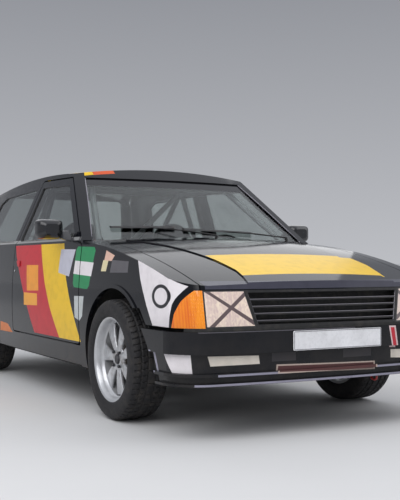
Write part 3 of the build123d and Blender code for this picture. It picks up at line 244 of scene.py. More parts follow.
def outward(thing: Piece) -> Piece:
    """Turns a closed mesh outside out where its signed volume is negative.

    The volume is the sum over triangles of corner a times the cross product of b and c, over six.

    Args:
        thing: the object.

    Returns:
        The same object.
    """
    mesh = thing.data
    mesh.calc_loop_triangles()
    tri = np.empty(len(mesh.loop_triangles) * 3, int)
    mesh.loop_triangles.foreach_get("vertices", tri)
    a, b, c = corners_of(mesh)[tri.reshape(-1, 3)].transpose(1, 0, 2)
    if np.sum(a * np.cross(b, c)) < 0:
        mesh.flip_normals()
    return thing


def revolve(
    name: str,
    profile: Outline | np.ndarray,
    centre: Point3,
    steps: int = 48,
    axis: Axis = Axis.Z,
    sign: float = 1.0,
) -> Piece:
    """Turns a closed profile about an axis through a centre.

    A point (r, h) of the profile at angle a goes to r cos a and r sin a on the other two axes, in their
    order, and to sign times h along the axis.

    Args:
        name: the object's name.
        profile: radius and height along the axis of each place.
        centre: where height zero lies on the axis.
        steps: number of steps around.
        axis: the axis.
        sign: which way heights count along it.

    Returns:
        The closed ring.
    """
    a = turns(steps)[:, None]
    r, h = np.array(profile).T[:, None]
    columns = [r * np.cos(a), r * np.sin(a)]
    columns.insert(axis.value, sign * h + 0.0 * a)
    return grid(name, np.stack(columns, -1) + np.array(centre), True, True)


def tube_points(path: np.ndarray, radius: float, sides: int, closed: bool, flat: float = 1.0) -> np.ndarray:
    """Carries a circle along a path.

    At each point the circle's plane is square to the path's direction t: its first axis is t crossed
    with the axis along which the path reaches least, its second is t crossed with the first.

    Args:
        path: array (n, 3).
        radius: the circle's radius.
        sides: number of points round the circle.
        closed: whether the path joins its own start.
        flat: factor on the circle's second axis.

    Returns:
        Array (n, sides, 3).
    """
    ahead = np.roll(path, -1, 0) - np.roll(path, 1, 0) if closed else np.gradient(path, axis=0)
    t = ahead / np.linalg.norm(ahead, axis=1, keepdims=True)
    first = np.cross(t, np.eye(3)[int(np.argmin(np.ptp(path, axis=0)))])
    first /= np.linalg.norm(first, axis=1, keepdims=True)
    second = np.cross(t, first)
    a = turns(sides)[None, :, None]
    return path[:, None] + radius * (first[:, None] * np.cos(a) + flat * second[:, None] * np.sin(a))


def tube(
    name: str, path: np.ndarray, radius: float, sides: int = 10, closed: bool = False, flat: float = 1.0
) -> Piece:
    """Makes a tube along a path, with end faces where it is open.

    Args:
        name: the object's name.
        path: array (n, 3).
        radius: the tube's radius.
        sides: number of points round it.
        closed: whether the path is a ring.
        flat: factor on the tube's second axis.

    Returns:
        The tube.
    """
    points = tube_points(np.asarray(path, float), radius, sides, closed, flat)
    return grid(name, points, closed, True, not closed)


def round_outline(corners: np.ndarray, radius: float, steps: int = 6) -> np.ndarray:
    """Rounds the corners of a closed outline in any number of dimensions.

    Each corner c becomes the curve (1-s)^2 a + 2 s (1-s) c + s^2 b, with a and b on its two sides at a
    distance of the radius, or of 0.45 of the side where that is less.

    Args:
        corners: array (n, d).
        radius: distance from a corner at which its rounding starts.
        steps: points per corner.

    Returns:
        Array (n times steps, d).
    """
    c = np.asarray(corners, float)
    ends = []
    for way in (1, -1):
        run = np.roll(c, way, 0) - c
        length = np.linalg.norm(run, axis=1, keepdims=True)
        ends.append((c + run / length * np.minimum(radius, 0.45 * length))[:, None])
    a, b = ends
    s = np.linspace(0.0, 1.0, steps)[None, :, None]
    curve = (1 - s) ** 2 * a + 2 * s * (1 - s) * c[:, None] + s**2 * b
    return curve.reshape(-1, c.shape[1])


def slab(name: str, outline: np.ndarray, depth: Point3, edge: float) -> Piece:
    """Makes a thin plate from a closed outline in space, with a soft front edge.

    Rows of the outline run from the back to the front; the front row is drawn in towards the middle
    by the edge size, and both ends are closed by one face.

    Args:
        name: the object's name.
        outline: array (n, 3) of the back face's outline.
        depth: the vector from back to front.
        edge: size of the soft edge.

    Returns:
        The plate.
    """
    middle = outline.mean(0)
    away = outline - middle
    reach = np.linalg.norm(away, axis=1, keepdims=True)
    inner = middle + away * (1.0 - edge / reach)
    step = np.array(depth, float)
    thin = step * max(0.0, 1.0 - edge / np.linalg.norm(step))
    return grid(name, np.stack([outline, outline + thin, inner + step]), False, True, True)


def casing(name: str, box: Box, edge: float, draw: float = 0.0) -> Piece:
    """Makes a box with round upright corners, soft top and bottom edges and drawn-in sides.

    A rounded outline is carried up in six rings. The first and last are drawn in by the edge size,
    and the rings between close in by the draw from the foot to the top.

    Args:
        name: the object's name.
        box: its lowest and its highest corner.
        edge: size of the round edges.
        draw: share by which the top is smaller than the foot.

    Returns:
        The closed casing.
    """
    a, b = np.array(box)
    half, middle, tall = (b - a)[:2] / 2.0, (a + b)[:2] / 2.0, b[2] - a[2]
    outline = round_outline(half * SQUARE, 2.2 * edge)
    up = np.array([0.0, 0.3 * edge, edge, tall - edge, tall - 0.3 * edge, tall])
    inset = edge * np.array([1.0, 0.3, 0.0, 0.0, 0.3, 1.0])
    scale = (1.0 - draw * up / tall)[:, None, None] * (1.0 - inset[:, None, None] / half)
    height = np.broadcast_to((a[2] + up)[:, None, None], (len(up), len(outline), 1))
    return grid(name, np.concatenate([middle + outline * scale, height], -1), False, True, True)


def curve_through(points: Route, steps: int) -> np.ndarray:
    """Smooth path through a few places, as a Catmull-Rom curve.

    Between places b and c with neighbours a and d it is half of 2b + (c-a) s + (2a-5b+4c-d) s^2 +
    (3b-a-3c+d) s^3.

    Args:
        points: the places, in order.
        steps: points on each stretch.

    Returns:
        Array (n, 3).
    """
    p = np.array(points, float)
    p = np.concatenate([[2.0 * p[0] - p[1]], p, [2.0 * p[-1] - p[-2]]])
    a, b, c, d = (p[i : len(p) - 3 + i, None] for i in range(4))
    s = np.linspace(0.0, 1.0, steps, endpoint=False)[None, :, None]
    bend, twist = 2.0 * a - 5.0 * b + 4.0 * c - d, 3.0 * b - a - 3.0 * c + d
    path = 0.5 * (2.0 * b + (c - a) * s + bend * s**2 + twist * s**3)
    return np.concatenate([path.reshape(-1, 3), p[-2:-1]])


def pipe(name: str, points: Route, steps: int, radius: float, sides: int, flat: float = 1.0) -> Piece:
    """Makes an open tube on a smooth path through a few places.

    Args:
        name: the object's name.
        points: the places, in order.
        steps: points on each stretch.
        radius: the tube's radius.
        sides: number of points round it.
        flat: factor on the tube's second axis.

    Returns:
        The tube.
    """
    return tube(name, curve_through(points, steps), radius, sides, False, flat)


def joined(name: str, things: list[Piece]) -> Piece:
    """Joins several new objects into one.

    Args:
        name: the joined object's name.
        things: the objects, which are removed.

    Returns:
        The joined object, without a material.
    """
    points, faces, start = [], [], 0
    for thing in things:
        mesh = thing.data
        points.append(corners_of(mesh))
        numbers, counts = np.empty(len(mesh.loops), int), np.empty(len(mesh.polygons), int)
        mesh.loops.foreach_get("vertex_index", numbers)
        mesh.polygons.foreach_get("loop_total", counts)
        faces += [face.tolist() for face in np.split(numbers + start, np.cumsum(counts)[:-1])]
        start += len(mesh.vertices)
        bpy.data.objects.remove(thing)
    return add_mesh(name, np.concatenate(points), faces)


def side_y(x: np.ndarray, z: np.ndarray, inset: float = 0.0) -> np.ndarray:
    """Half width of the car's side at a place in the side view.

    Above the belt it is a straight slope, below it an arc through three heights; both curve in along
    the car as x squared over a hundred.

    Args:
        x: places along the car.
        z: heights.
        inset: distance inside the surface.

    Returns:
        Distances from the middle.
    """
    low = 0.795 - 0.162 * (z - 0.56) ** 2 - 0.02 * np.clip(0.56 - z, 0.0, None)
    high = 0.754 - 0.393 * (z - 0.932)
    return np.where(z > 0.921, high, low) - x**2 / 100.0 - inset


# ---------------------------------------------------------------- finishes


class Shader:
    """Builds one material out of nodes, around a Principled shader."""

    def __init__(self, name: str) -> None:
        """Starts a material with Object coordinates and the normal at hand.

        Args:
            name: the material's name.
        """
        self.material = bpy.data.materials.new(name)
        self.material.use_nodes = True
        self.tree = self.material.node_tree
        self.tree.nodes.clear()
        self.out = self.tree.nodes.new("ShaderNodeOutputMaterial")
        self.bsdf = self.tree.nodes.new("ShaderNodeBsdfPrincipled")
        self.tree.links.new(self.bsdf.outputs[0], self.out.inputs[0])
        self.place = self.tree.nodes.new("ShaderNodeTexCoord").outputs["Object"]
        self.normal = self.tree.nodes.new("ShaderNodeNewGeometry").outputs["Normal"]

    def put(self, socket: Socket, value: object) -> None:
        """Links a socket to an output, or sets its number or colour.

        Args:
            socket: the input.
            value: an output socket, a number or a tuple.
        """
        if isinstance(value, Socket):
            self.tree.links.new(value, socket)
        elif isinstance(value, tuple) and socket.type == "RGBA":
            socket.default_value = (*value[:3], 1.0)
        else:
            socket.default_value = value

    def shade(self, **values: object) -> None:
        """Sets inputs of the Principled shader, named with underscores for spaces."""
        for key, value in values.items():
            self.put(self.bsdf.inputs[key.replace("_", " ")], value)

    def math(self, operation: str, a: object, b: object = 0.0, clamp: bool = False) -> Socket:
        """Adds one Math node.

        Args:
            operation: the node's operation.
            a: first value.
            b: second value.
            clamp: whether the result is held between 0 and 1.

        Returns:
            Its output.
        """
        node = self.tree.nodes.new("ShaderNodeMath")
        node.operation = operation
        node.use_clamp = clamp
        self.put(node.inputs[0], a)
        self.put(node.inputs[1], b)
        return node.outputs[0]

    def times(self, a: object, b: object, clamp: bool = False) -> Socket:
        """Product of two values, held between 0 and 1 where clamp is set."""
        return self.math("MULTIPLY", a, b, clamp)

    def waves(self, value: object, rate: float) -> Socket:
        """Sine of a value, with that many waves to a unit."""
        return self.math("SINE", self.times(value, TAU * rate))

    def along(self, direction: Point3) -> Socket:
        """How far the place lies along a direction."""
        return self.dot(self.place, direction)

    def from_axle(self, centre: Point3) -> Socket:
        """Distance of the place from a wheel's axle.

        Args:
            centre: the wheel's centre.

        Returns:
            The root of the sum of both squares.
        """
        x = self.math("SUBTRACT", self.along(AHEAD), centre[0])
        z = self.math("SUBTRACT", self.along(UP), centre[2])
        return self.math("SQRT", self.math("ADD", self.times(x, x), self.times(z, z)))

    def dot(self, vector: object, along: Point3) -> Socket:
        """Dot product of a vector with a fixed direction.

        Args:
            vector: the vector's output socket.
            along: the direction.

        Returns:
            The product.
        """
        node = self.tree.nodes.new("ShaderNodeVectorMath")
        node.operation = "DOT_PRODUCT"
        self.put(node.inputs[0], vector)
        node.inputs[1].default_value = along
        return node.outputs["Value"]

    def mix(self, share: object, a: object, b: object) -> Socket:
        """Mixes two colours.

        Args:
            share: 0 gives a, 1 gives b.
            a: first colour.
            b: second colour.

        Returns:
            The mixed colour.
        """
        node = self.tree.nodes.new("ShaderNodeMix")
        node.data_type = "RGBA"
        self.put(node.inputs[0], share)
        self.put(node.inputs[6], a)
        self.put(node.inputs[7], b)
        return node.outputs[2]

    def blend(self, share: object, a: object, b: object) -> Socket:
        """Mixes two numbers.

        Args:
            share: 0 gives a, 1 gives b.
            a: first number.
            b: second number.

        Returns:
            The mixed number.
        """
        node = self.tree.nodes.new("ShaderNodeMix")
        self.put(node.inputs[0], share)
        self.put(node.inputs[2], a)
        self.put(node.inputs[3], b)
        return node.outputs[0]

    def texture(self, kind: str, scale: float, stretch: Point3) -> bpy.types.ShaderNode:
        """Adds a texture on the piece's own coordinates.

        Args:
            kind: the node's type.
            scale: repeats per metre.
            stretch: factor on each axis.

        Returns:
            The texture's node.
        """
        turn = self.tree.nodes.new("ShaderNodeMapping")
        self.put(turn.inputs["Vector"], self.place)
        turn.inputs["Scale"].default_value = stretch
        node = self.tree.nodes.new(kind)
        self.put(node.inputs["Vector"], turn.outputs[0])
        node.inputs["Scale"].default_value = scale
        return node

    def noise(self, scale: float, detail: float = 3.0, stretch: Point3 = (1.0, 1.0, 1.0)) -> Socket:
        """Noise on the piece's own coordinates.

        Args:
            scale: repeats per metre.
            detail: octaves.
            stretch: factor on each axis.

        Returns:
            A number around one half.
        """
        node = self.texture("ShaderNodeTexNoise", scale, stretch)
        node.inputs["Detail"].default_value = detail
        return node.outputs["Fac"]

    def patches(self, scale: float, detail: float, low: float, high: float) -> Socket:
        """Noise stretched between two values, as patches from 0 to 1.

        Args:
            scale: repeats per metre.
            detail: octaves.
            low: noise at which a patch begins.
            high: noise at which it is full.

        Returns:
            The patches.
        """
        return self.spread(self.noise(scale, detail), low, high)

    def cells(self, scale: float, stretch: Point3) -> Socket:
        """Small flat cells on the piece's own coordinates, each with a tone of its own.

        Args:
            scale: cells per metre.
            stretch: factor on each axis.

        Returns:
            A number from 0 to 1, the same all over a cell.
        """
        node = self.texture("ShaderNodeTexVoronoi", scale, stretch)
        return self.dot(node.outputs["Color"], AHEAD)

    def spread(self, value: object, low: float, high: float) -> Socket:
        """Stretches a number so that low gives 0 and high gives 1, held between them.

        Args:
            value: the number.
            low: where the result is 0.
            high: where the result is 1.

        Returns:
            The stretched number.
        """
        node = self.tree.nodes.new("ShaderNodeMapRange")
        node.clamp = True
        self.put(node.inputs[0], value)
        node.inputs[1].default_value = low
        node.inputs[2].default_value = high
        return node.outputs[0]

    def bump(self, height: object, strength: float, distance: float) -> None:
        """Puts a height on the shader's normal.

        Args:
            height: the height's output.
            strength: the node's strength.
            distance: metres per unit of height.
        """
        node = self.tree.nodes.new("ShaderNodeBump")
        node.inputs["Strength"].default_value = strength
        node.inputs["Distance"].default_value = distance
        self.put(node.inputs["Height"], height)
        self.put(self.bsdf.inputs["Normal"], node.outputs[0])

    def outer(self, axes: Axes) -> Socket:
        """Where the surface faces away from the car, square to two drawing axes.

        Args:
            axes: the two axes; the third is the one looked along.

        Returns:
            1 on outer faces, 0 on others.
        """
        facing = self.dot(self.normal, axes.square)
        if axes is Axes.SIDE:
            facing = self.times(facing, self.math("SIGN", self.along(axes.square)))
        return self.spread(facing, 0.175, 0.176)


def toned(colour: Colour, factor: float) -> Colour:
    """A colour made darker or lighter by a factor."""
    return tuple(factor * part for part in colour)


@dataclass(frozen=True)
class Patch:
    """A plain convex area on the paint, between straight edges, in metres of two axes."""

    axes: Axes
    points: Outline
    colour: Colour
    rough: float = 0.3

    def mask(self, shader: Shader) -> Socket:
        """The least distance inside any edge, scaled so that it reaches 1 within a millimetre.

        Args:
            shader: the material in the making.

        Returns:
            1 inside, 0 outside.
        """
        p = np.array(self.points)
        after = np.roll(p, -1, 0)
        ahead = after - p
        turning = float(np.sum(p[:, 0] * after[:, 1] - after[:, 0] * p[:, 1]))
        n = np.stack([-ahead[:, 1], ahead[:, 0]], -1) * math.copysign(1.0, turning)
        n /= np.linalg.norm(n, axis=1, keepdims=True)
        c = -np.sum(n * p, axis=1)
        inside = None
        for (nu, nv), offset in zip(n.tolist(), c.tolist()):
            far = shader.math("ADD", shader.along(self.axes.direction(nu, nv)), offset)
            inside = far if inside is None else shader.math("MINIMUM", inside, far)
        return shader.times(inside, EDGE_SHARPNESS, True)


@dataclass(frozen=True)
class Disc:
    """A round or oval ring on the paint; its inner share is the size of its hole."""

    axes: Axes
    centre: Point2
    radii: Point2
    colour: Colour
    inner: float
    rough: float = 0.3

    def mask(self, shader: Shader) -> Socket:
        """Two edges of the length of the place over the radii, at 1 and at the inner share.

        Args:
            shader: the material in the making.

        Returns:
            1 on the ring, 0 elsewhere.
        """
        squares = []
        for step, middle, radius in zip(((1.0, 0.0), (0.0, 1.0)), self.centre, self.radii):
            direction = toned(self.axes.direction(*step), 1.0 / radius)
            away = shader.math("ADD", shader.along(direction), -middle / radius)
            squares.append(shader.times(away, away))
        length = shader.math("SQRT", shader.math("ADD", *squares))
        sharp = EDGE_SHARPNESS * min(self.radii)
        disc = shader.times(shader.math("SUBTRACT", 1.0, length), sharp, True)
        hole = shader.times(shader.math("SUBTRACT", length, self.inner), sharp, True)
        return shader.times(disc, hole)


Mark = Patch | Disc


@dataclass(frozen=True)
class Borders:
    """Everything outside a few convex areas, as a dark border round each of them."""

    inner: tuple[Patch, ...]
    colour: Colour = (0.012, 0.012, 0.013)
    rough: float = 0.5

    def mask(self, shader: Shader) -> Socket:
        """One minus the areas' masks.

        Args:
            shader: the material in the making.

        Returns:
            0 inside any area, 1 elsewhere.
        """
        rest: object = 1.0
        for patch in self.inner:
            rest = shader.math("SUBTRACT", rest, patch.mask(shader), clamp=True)
        return rest


@dataclass(frozen=True)
class Finish:
    """One surface finish, which makes its material once and keeps it."""

    name: str

    def mixed(self, s: Shader) -> None:
        """Sets up the shader; each kind of finish has its own way.

        Args:
            s: the material in the making.
        """
        raise NotImplementedError

    @cache
    def build(self) -> bpy.types.Material:
        """Makes the material, or hands out the one made before.

        Returns:
            The material.
        """
        shader = Shader(self.name)
        self.mixed(shader)
        return shader.material


@dataclass(frozen=True)
class Paint(Finish):
    """Glossy car paint with marks on its outer faces, fine waviness and road dust low down."""

    marks: tuple[Mark, ...] = ()
    dust: float = 0.30
    rough: float = 0.07
    colour: Colour = (0.006, 0.0065, 0.009)
    dust_from_to: Point2 = (0.56, 0.20)
    specks: float = 0.45

    def mixed(self, s: Shader) -> None:
        """Sets up the shader.

        Args:
            s: the material in the making.
        """
        base: object = s.mix(s.noise(3.0), toned(self.colour, 0.8), toned(self.colour, 1.3))
        rough: object = s.blend(s.patches(35.0, 5.0, 0.35, 0.75), self.rough * 0.8, self.rough * 1.8)
        outer = {axes: s.outer(axes) for axes in {mark.axes for mark in self.marks}}
        for mark in self.marks:
            share = s.times(mark.mask(s), outer[mark.axes])
            tone = s.mix(s.patches(22.0, 6.0, 0.45, 0.8), mark.colour, toned(mark.colour, 0.86))
            base = s.mix(share, base, tone)
            rough = s.blend(share, rough, mark.rough)
        low = s.spread(s.along(UP), *self.dust_from_to)
        film = s.times(s.times(low, s.patches(14.0, 6.0, 0.34, 0.74)), self.dust, True)
        specks = s.times(s.patches(220.0, 2.0, 0.68, 0.75), s.times(low, self.specks))
        grime = s.math("MAXIMUM", film, specks)
        s.shade(Base_Color=s.mix(grime, base, ROAD_DIRT), Roughness=s.blend(grime, rough, 0.7))
        s.shade(IOR=1.5, Specular_IOR_Level=0.28)
        s.bump(s.noise(260.0, 2.0), 0.04, 0.0006)


@dataclass(frozen=True)
class Moulded(Finish):
    """Moulded plastic, or painted and bare metal, with grain, mottling and dust."""

    colour: Colour
    rough: float = 0.5
    metal: float = 0.0
    grain: float = 500.0
    depth: float = 0.0006
    wear: Colour = (0.1, 0.085, 0.07)
    wear_share: float = 0.35
    coat: float = 0.0

    def mixed(self, s: Shader) -> None:
        """Sets up the shader.

        Args:
            s: the material in the making.
        """
        tone = s.mix(s.noise(9.0, 5.0), toned(self.colour, 0.72), toned(self.colour, 1.3))
        dirt = s.times(s.patches(26.0, 6.0, 0.5, 0.8), self.wear_share)
        rough = s.blend(s.noise(60.0, 4.0), self.rough * 0.75, min(1.0, self.rough * 1.25))
        s.shade(Base_Color=s.mix(dirt, tone, self.wear), Roughness=rough)
        s.shade(Metallic=self.metal, Coat_Weight=self.coat, Coat_Roughness=0.05)
        s.bump(s.noise(self.grain, 2.0), 0.35, self.depth)


@dataclass(frozen=True)
class Glazing(Finish):
    """Tinted glass with faint smears in its tint, and a dark strip over a height where one is given."""

    tint: Colour
    strip_from: float | None = None

    def mixed(self, s: Shader) -> None:
        """Sets up the shader.

        Args:
            s: the material in the making.
        """
        smear = s.spread(s.noise(7.0, 6.0, (1.0, 1.0, 0.4)), 0.45, 0.85)
        tone: object = s.mix(smear, self.tint, toned(self.tint, 0.86))
        clear: object = 1.0
        if self.strip_from is not None:
            strip = s.spread(s.along(UP), self.strip_from, self.strip_from + 0.001)
            tone = s.mix(strip, tone, (0.01, 0.01, 0.012))
            clear = s.math("SUBTRACT", 1.0, strip)
        s.shade(Base_Color=tone, Roughness=0.0, Transmission_Weight=clear, IOR=1.45)


@dataclass(frozen=True)
class Lens(Finish):
    """Fluted lamp plastic, lighter and darker in broad bands, with marks such as tape or borders."""

    colour: Colour
    deep: Colour
    flutes: float
    marks: tuple[Mark | Borders, ...] = ()
    mosaic: float = 75.0
    patchy: float = 0.15
    glow: float = 0.03
    bars: float = 60.0

    def mixed(self, s: Shader) -> None:
        """Sets up the shader: flutes are a sine of the place across them, over cells of uneven depth.

        Args:
            s: the material in the making.
        """
        flute = s.waves(s.along(LEFTWARD), self.flutes)
        bars = s.waves(s.along(UP), self.bars)
        broad = s.spread(s.noise(16.0, 2.0, (1.0, 1.0, 0.15)), 0.36, 0.62)
        tone: object = s.mix(broad, self.deep, self.colour)
        tone = s.mix(s.spread(flute, -1.0, 1.0), tone, s.mix(0.5, tone, self.colour))
        tone = s.mix(s.times(s.cells(self.mosaic, (0.0, 1.0, 0.6)), self.patchy), tone, self.deep)
        rough: object = 0.12
        for mark in self.marks:
            share = mark.mask(s)
            tone = s.mix(share, tone, mark.colour)
            rough = s.blend(share, rough, mark.rough)
        s.shade(Base_Color=tone, Roughness=rough, Emission_Color=tone)
        s.shade(Coat_Weight=1.0, Coat_Roughness=0.03, Emission_Strength=self.glow)
        s.bump(s.math("ADD", flute, s.times(bars, 0.25)), 0.25, 0.0012)


@dataclass(frozen=True)
class Cloth(Finish):
    """Woven seat cloth: two crossed sines make the threads, with sheen and pile colour."""

    colour: Colour
    second: Colour
    threads: float = 320.0

    def mixed(self, s: Shader) -> None:
        """Sets up the shader.

        Args:
            s: the material in the making.
        """
        one = s.waves(s.along((0.6, 1.0, 0.3)), self.threads)
        two = s.waves(s.along((0.6, -1.0, 1.0)), self.threads)
        weave = s.times(one, two)
        tone = s.mix(s.spread(weave, -1.0, 1.0), self.colour, self.second)
        tone = s.mix(s.patches(6.0, 5.0, 0.3, 0.8), tone, toned(self.colour, 0.6))
        s.shade(Base_Color=tone, Roughness=0.9, Sheen_Weight=0.4, Sheen_Roughness=0.5)
        s.bump(weave, 0.4, 0.0006)


@dataclass(frozen=True)
class Rubber(Finish):
    """Tyre rubber: dark tread, browner where dust lies, fine mould lines on the side wall."""

    centre: Point3
    colour: Colour = (0.016, 0.0155, 0.017)
    dust: Colour = (0.070, 0.060, 0.052)
    dust_from_to: Point2 = (0.225, 0.33)
    mould_lines: float = 420.0

    def mixed(self, s: Shader) -> None:
        """Sets up the shader: mould lines are a sine of the distance from the axle.

        Args:
            s: the material in the making.
        """
        r = s.from_axle(self.centre)
        lines = s.waves(r, self.mould_lines)
        dust = s.times(s.patches(30.0, 6.0, 0.46, 0.85), s.spread(r, *self.dust_from_to))
        rough = s.blend(s.noise(90.0, 4.0), 0.5, 0.8)
        s.shade(Base_Color=s.mix(dust, self.colour, self.dust), Roughness=rough, Specular_IOR_Level=0.35)
        s.bump(s.math("ADD", s.noise(700.0, 2.0), s.times(lines, 0.3)), 0.35, 0.0006)


@dataclass(frozen=True)
class Alloy(Finish):
    """Painted silver alloy with a fine sparkle and brake dust near the hub."""

    centre: Point3
    colour: Colour = (0.56, 0.57, 0.59)
    dust: Colour = (0.12, 0.09, 0.07)
    dust_from_to: Point2 = (0.22, 0.06)

    def mixed(self, s: Shader) -> None:
        """Sets up the shader.

        Args:
            s: the material in the making.
        """
        r = s.from_axle(self.centre)
        tone = s.mix(s.patches(1500.0, 1.0, 0.3, 0.8), toned(self.colour, 0.85), self.colour)
        dust = s.times(s.patches(38.0, 6.0, 0.42, 0.85), s.spread(r, *self.dust_from_to))
        s.shade(Base_Color=s.mix(dust, tone, self.dust), Roughness=s.blend(dust, 0.3, 0.6))
        s.shade(Metallic=0.55, Coat_Weight=0.4, Coat_Roughness=0.06)
        s.bump(s.noise(180.0, 3.0), 0.08, 0.0008)


# Marks on the paint and the lamps; each is drawn over the ones before it. Most are livery, stickers and
# tape; the light lines on the bumper and the grey band on the bonnet's lip are painted highlights and
# reflections
RED: Colour = (0.54, 0.012, 0.022)
YELLOW: Colour = (0.84, 0.53, 0.008)
CREAM: Colour = (0.76, 0.72, 0.74)
BLACK: Colour = (0.006, 0.0065, 0.009)
GREEN: Colour = (0.014, 0.24, 0.085)
INK: Colour = (0.020, 0.020, 0.024)
# lavender grey of painted highlights, where the sky is reflected on glossy black edges
PAINTED_HIGHLIGHT: Colour = (0.30, 0.29, 0.37)

SIDE_MARKS: tuple[Mark, ...] = (
    # red, yellow and black bands down the door and the wing
    Patch(Axes.SIDE, (
        (-0.452, 0.899), (-0.429, 0.871), (-0.301, 0.657), (-0.213, 0.496), (-0.076, 0.357),
        (1.2, 0.357), (1.2, 0.899),
    ), RED),
    Patch(Axes.SIDE, (
        (0.076, 0.899), (0.194, 0.666), (0.290, 0.521), (0.429, 0.356), (1.2, 0.356), (1.2, 0.899),
    ), YELLOW),
    Patch(Axes.SIDE, (
        (0.466, 0.91), (0.541, 0.702), (0.619, 0.563), (0.762, 0.348), (1.3, 0.348), (1.3, 0.91),
    ), BLACK, 0.08),
    # panels on the bands and before them
    Patch(Axes.SIDE, (
        (-0.164, 0.773), (0.059, 0.774), (0.085, 0.618), (-0.137, 0.612),
    ), (0.88, 0.33, 0.02)),
    Patch(Axes.SIDE, (
        (-0.198, 0.600), (0.060, 0.600), (0.064, 0.527), (-0.196, 0.520),
    ), (0.88, 0.38, 0.03)),
    Patch(Axes.SIDE, (
        (0.432, 0.866), (0.656, 0.862), (0.587, 0.710), (0.416, 0.730),
    ), (0.52, 0.52, 0.60)),
    Patch(Axes.SIDE, (
        (0.668, 0.862), (0.688, 0.878), (0.918, 0.872), (0.936, 0.854), (0.880, 0.664),
        (0.856, 0.646), (0.668, 0.652), (0.650, 0.672),
    ), GREEN),
    Patch(Axes.SIDE, ((0.666, 0.800), (0.926, 0.789), (0.903, 0.715), (0.651, 0.726)), CREAM),
    Patch(Axes.SIDE, (
        (0.675, 0.605), (0.812, 0.608), (0.792, 0.500), (0.752, 0.472), (0.682, 0.487),
    ), (0.50, 0.53, 0.53)),
    # small panels over the wheel, and one before the rear wheel
    Patch(Axes.SIDE, (
        (1.076, 0.852), (1.184, 0.825), (1.150, 0.796), (1.060, 0.800),
    ), (0.72, 0.46, 0.36)),
    Patch(Axes.SIDE, (
        (1.047, 0.802), (1.112, 0.799), (1.091, 0.743), (1.027, 0.743),
    ), (0.70, 0.62, 0.38)),
    Patch(Axes.SIDE, (
        (1.157, 0.802), (1.351, 0.795), (1.347, 0.739), (1.139, 0.737),
    ), (0.10, 0.095, 0.105)),
    Patch(Axes.SIDE, (
        (-0.738, 0.388), (-0.566, 0.380), (-0.462, 0.327), (-0.755, 0.323),
    ), (0.72, 0.19, 0.03)),
    # the cream nose of the wing with its ring, and the stripe along the roof's edge
    Patch(Axes.SIDE, (
        (1.451, 0.799), (1.506, 0.789), (1.623, 0.760), (1.756, 0.722), (1.849, 0.683),
        (1.806, 0.627), (1.524, 0.645), (1.486, 0.713),
    ), CREAM),
    Patch(Axes.SIDE, ((1.523, 0.649), (1.808, 0.631), (1.791, 0.599), (1.564, 0.579)), CREAM),
    Patch(Axes.SIDE, ((1.563, 0.582), (1.792, 0.602), (1.774, 0.490), (1.625, 0.490)), CREAM),
    Disc(Axes.SIDE, (1.698, 0.635), (0.086, 0.055), INK, 0.70),
    Patch(Axes.TOP, ((-0.52, -0.578), (0.13, -0.578), (0.13, -0.480), (-0.52, -0.480)), YELLOW),
)
BONNET_MARKS: tuple[Mark, ...] = (
    Patch(Axes.TOP, (
        (1.465, -0.405), (1.738, -0.387), (1.738, 0.458), (1.620, 0.490), (1.468, 0.500),
    ), YELLOW),
    Patch(Axes.TOP, ((1.732, -0.387), (1.814, -0.400), (1.833, 0.433), (1.732, 0.460)), YELLOW),
    # painted reflection: a lavender-grey band across the bonnet's front lip stands for the sky reflected in
    # the black paint
    Patch(Axes.FRONT, (
        (-0.640, 0.669), (0.640, 0.669), (0.640, 0.705), (-0.640, 0.705),
    ), (0.060, 0.060, 0.082), 0.16),
)
ROOF_MARKS: tuple[Mark, ...] = (
    Patch(Axes.TOP, ((-0.52, -0.578), (0.20, -0.578), (0.20, -0.480), (-0.52, -0.480)), YELLOW),
    Patch(Axes.TOP, (
        (-0.50, -0.480), (0.23, -0.480), (0.23, -0.340), (-0.48, -0.340),
    ), (0.66, 0.09, 0.015)),
)
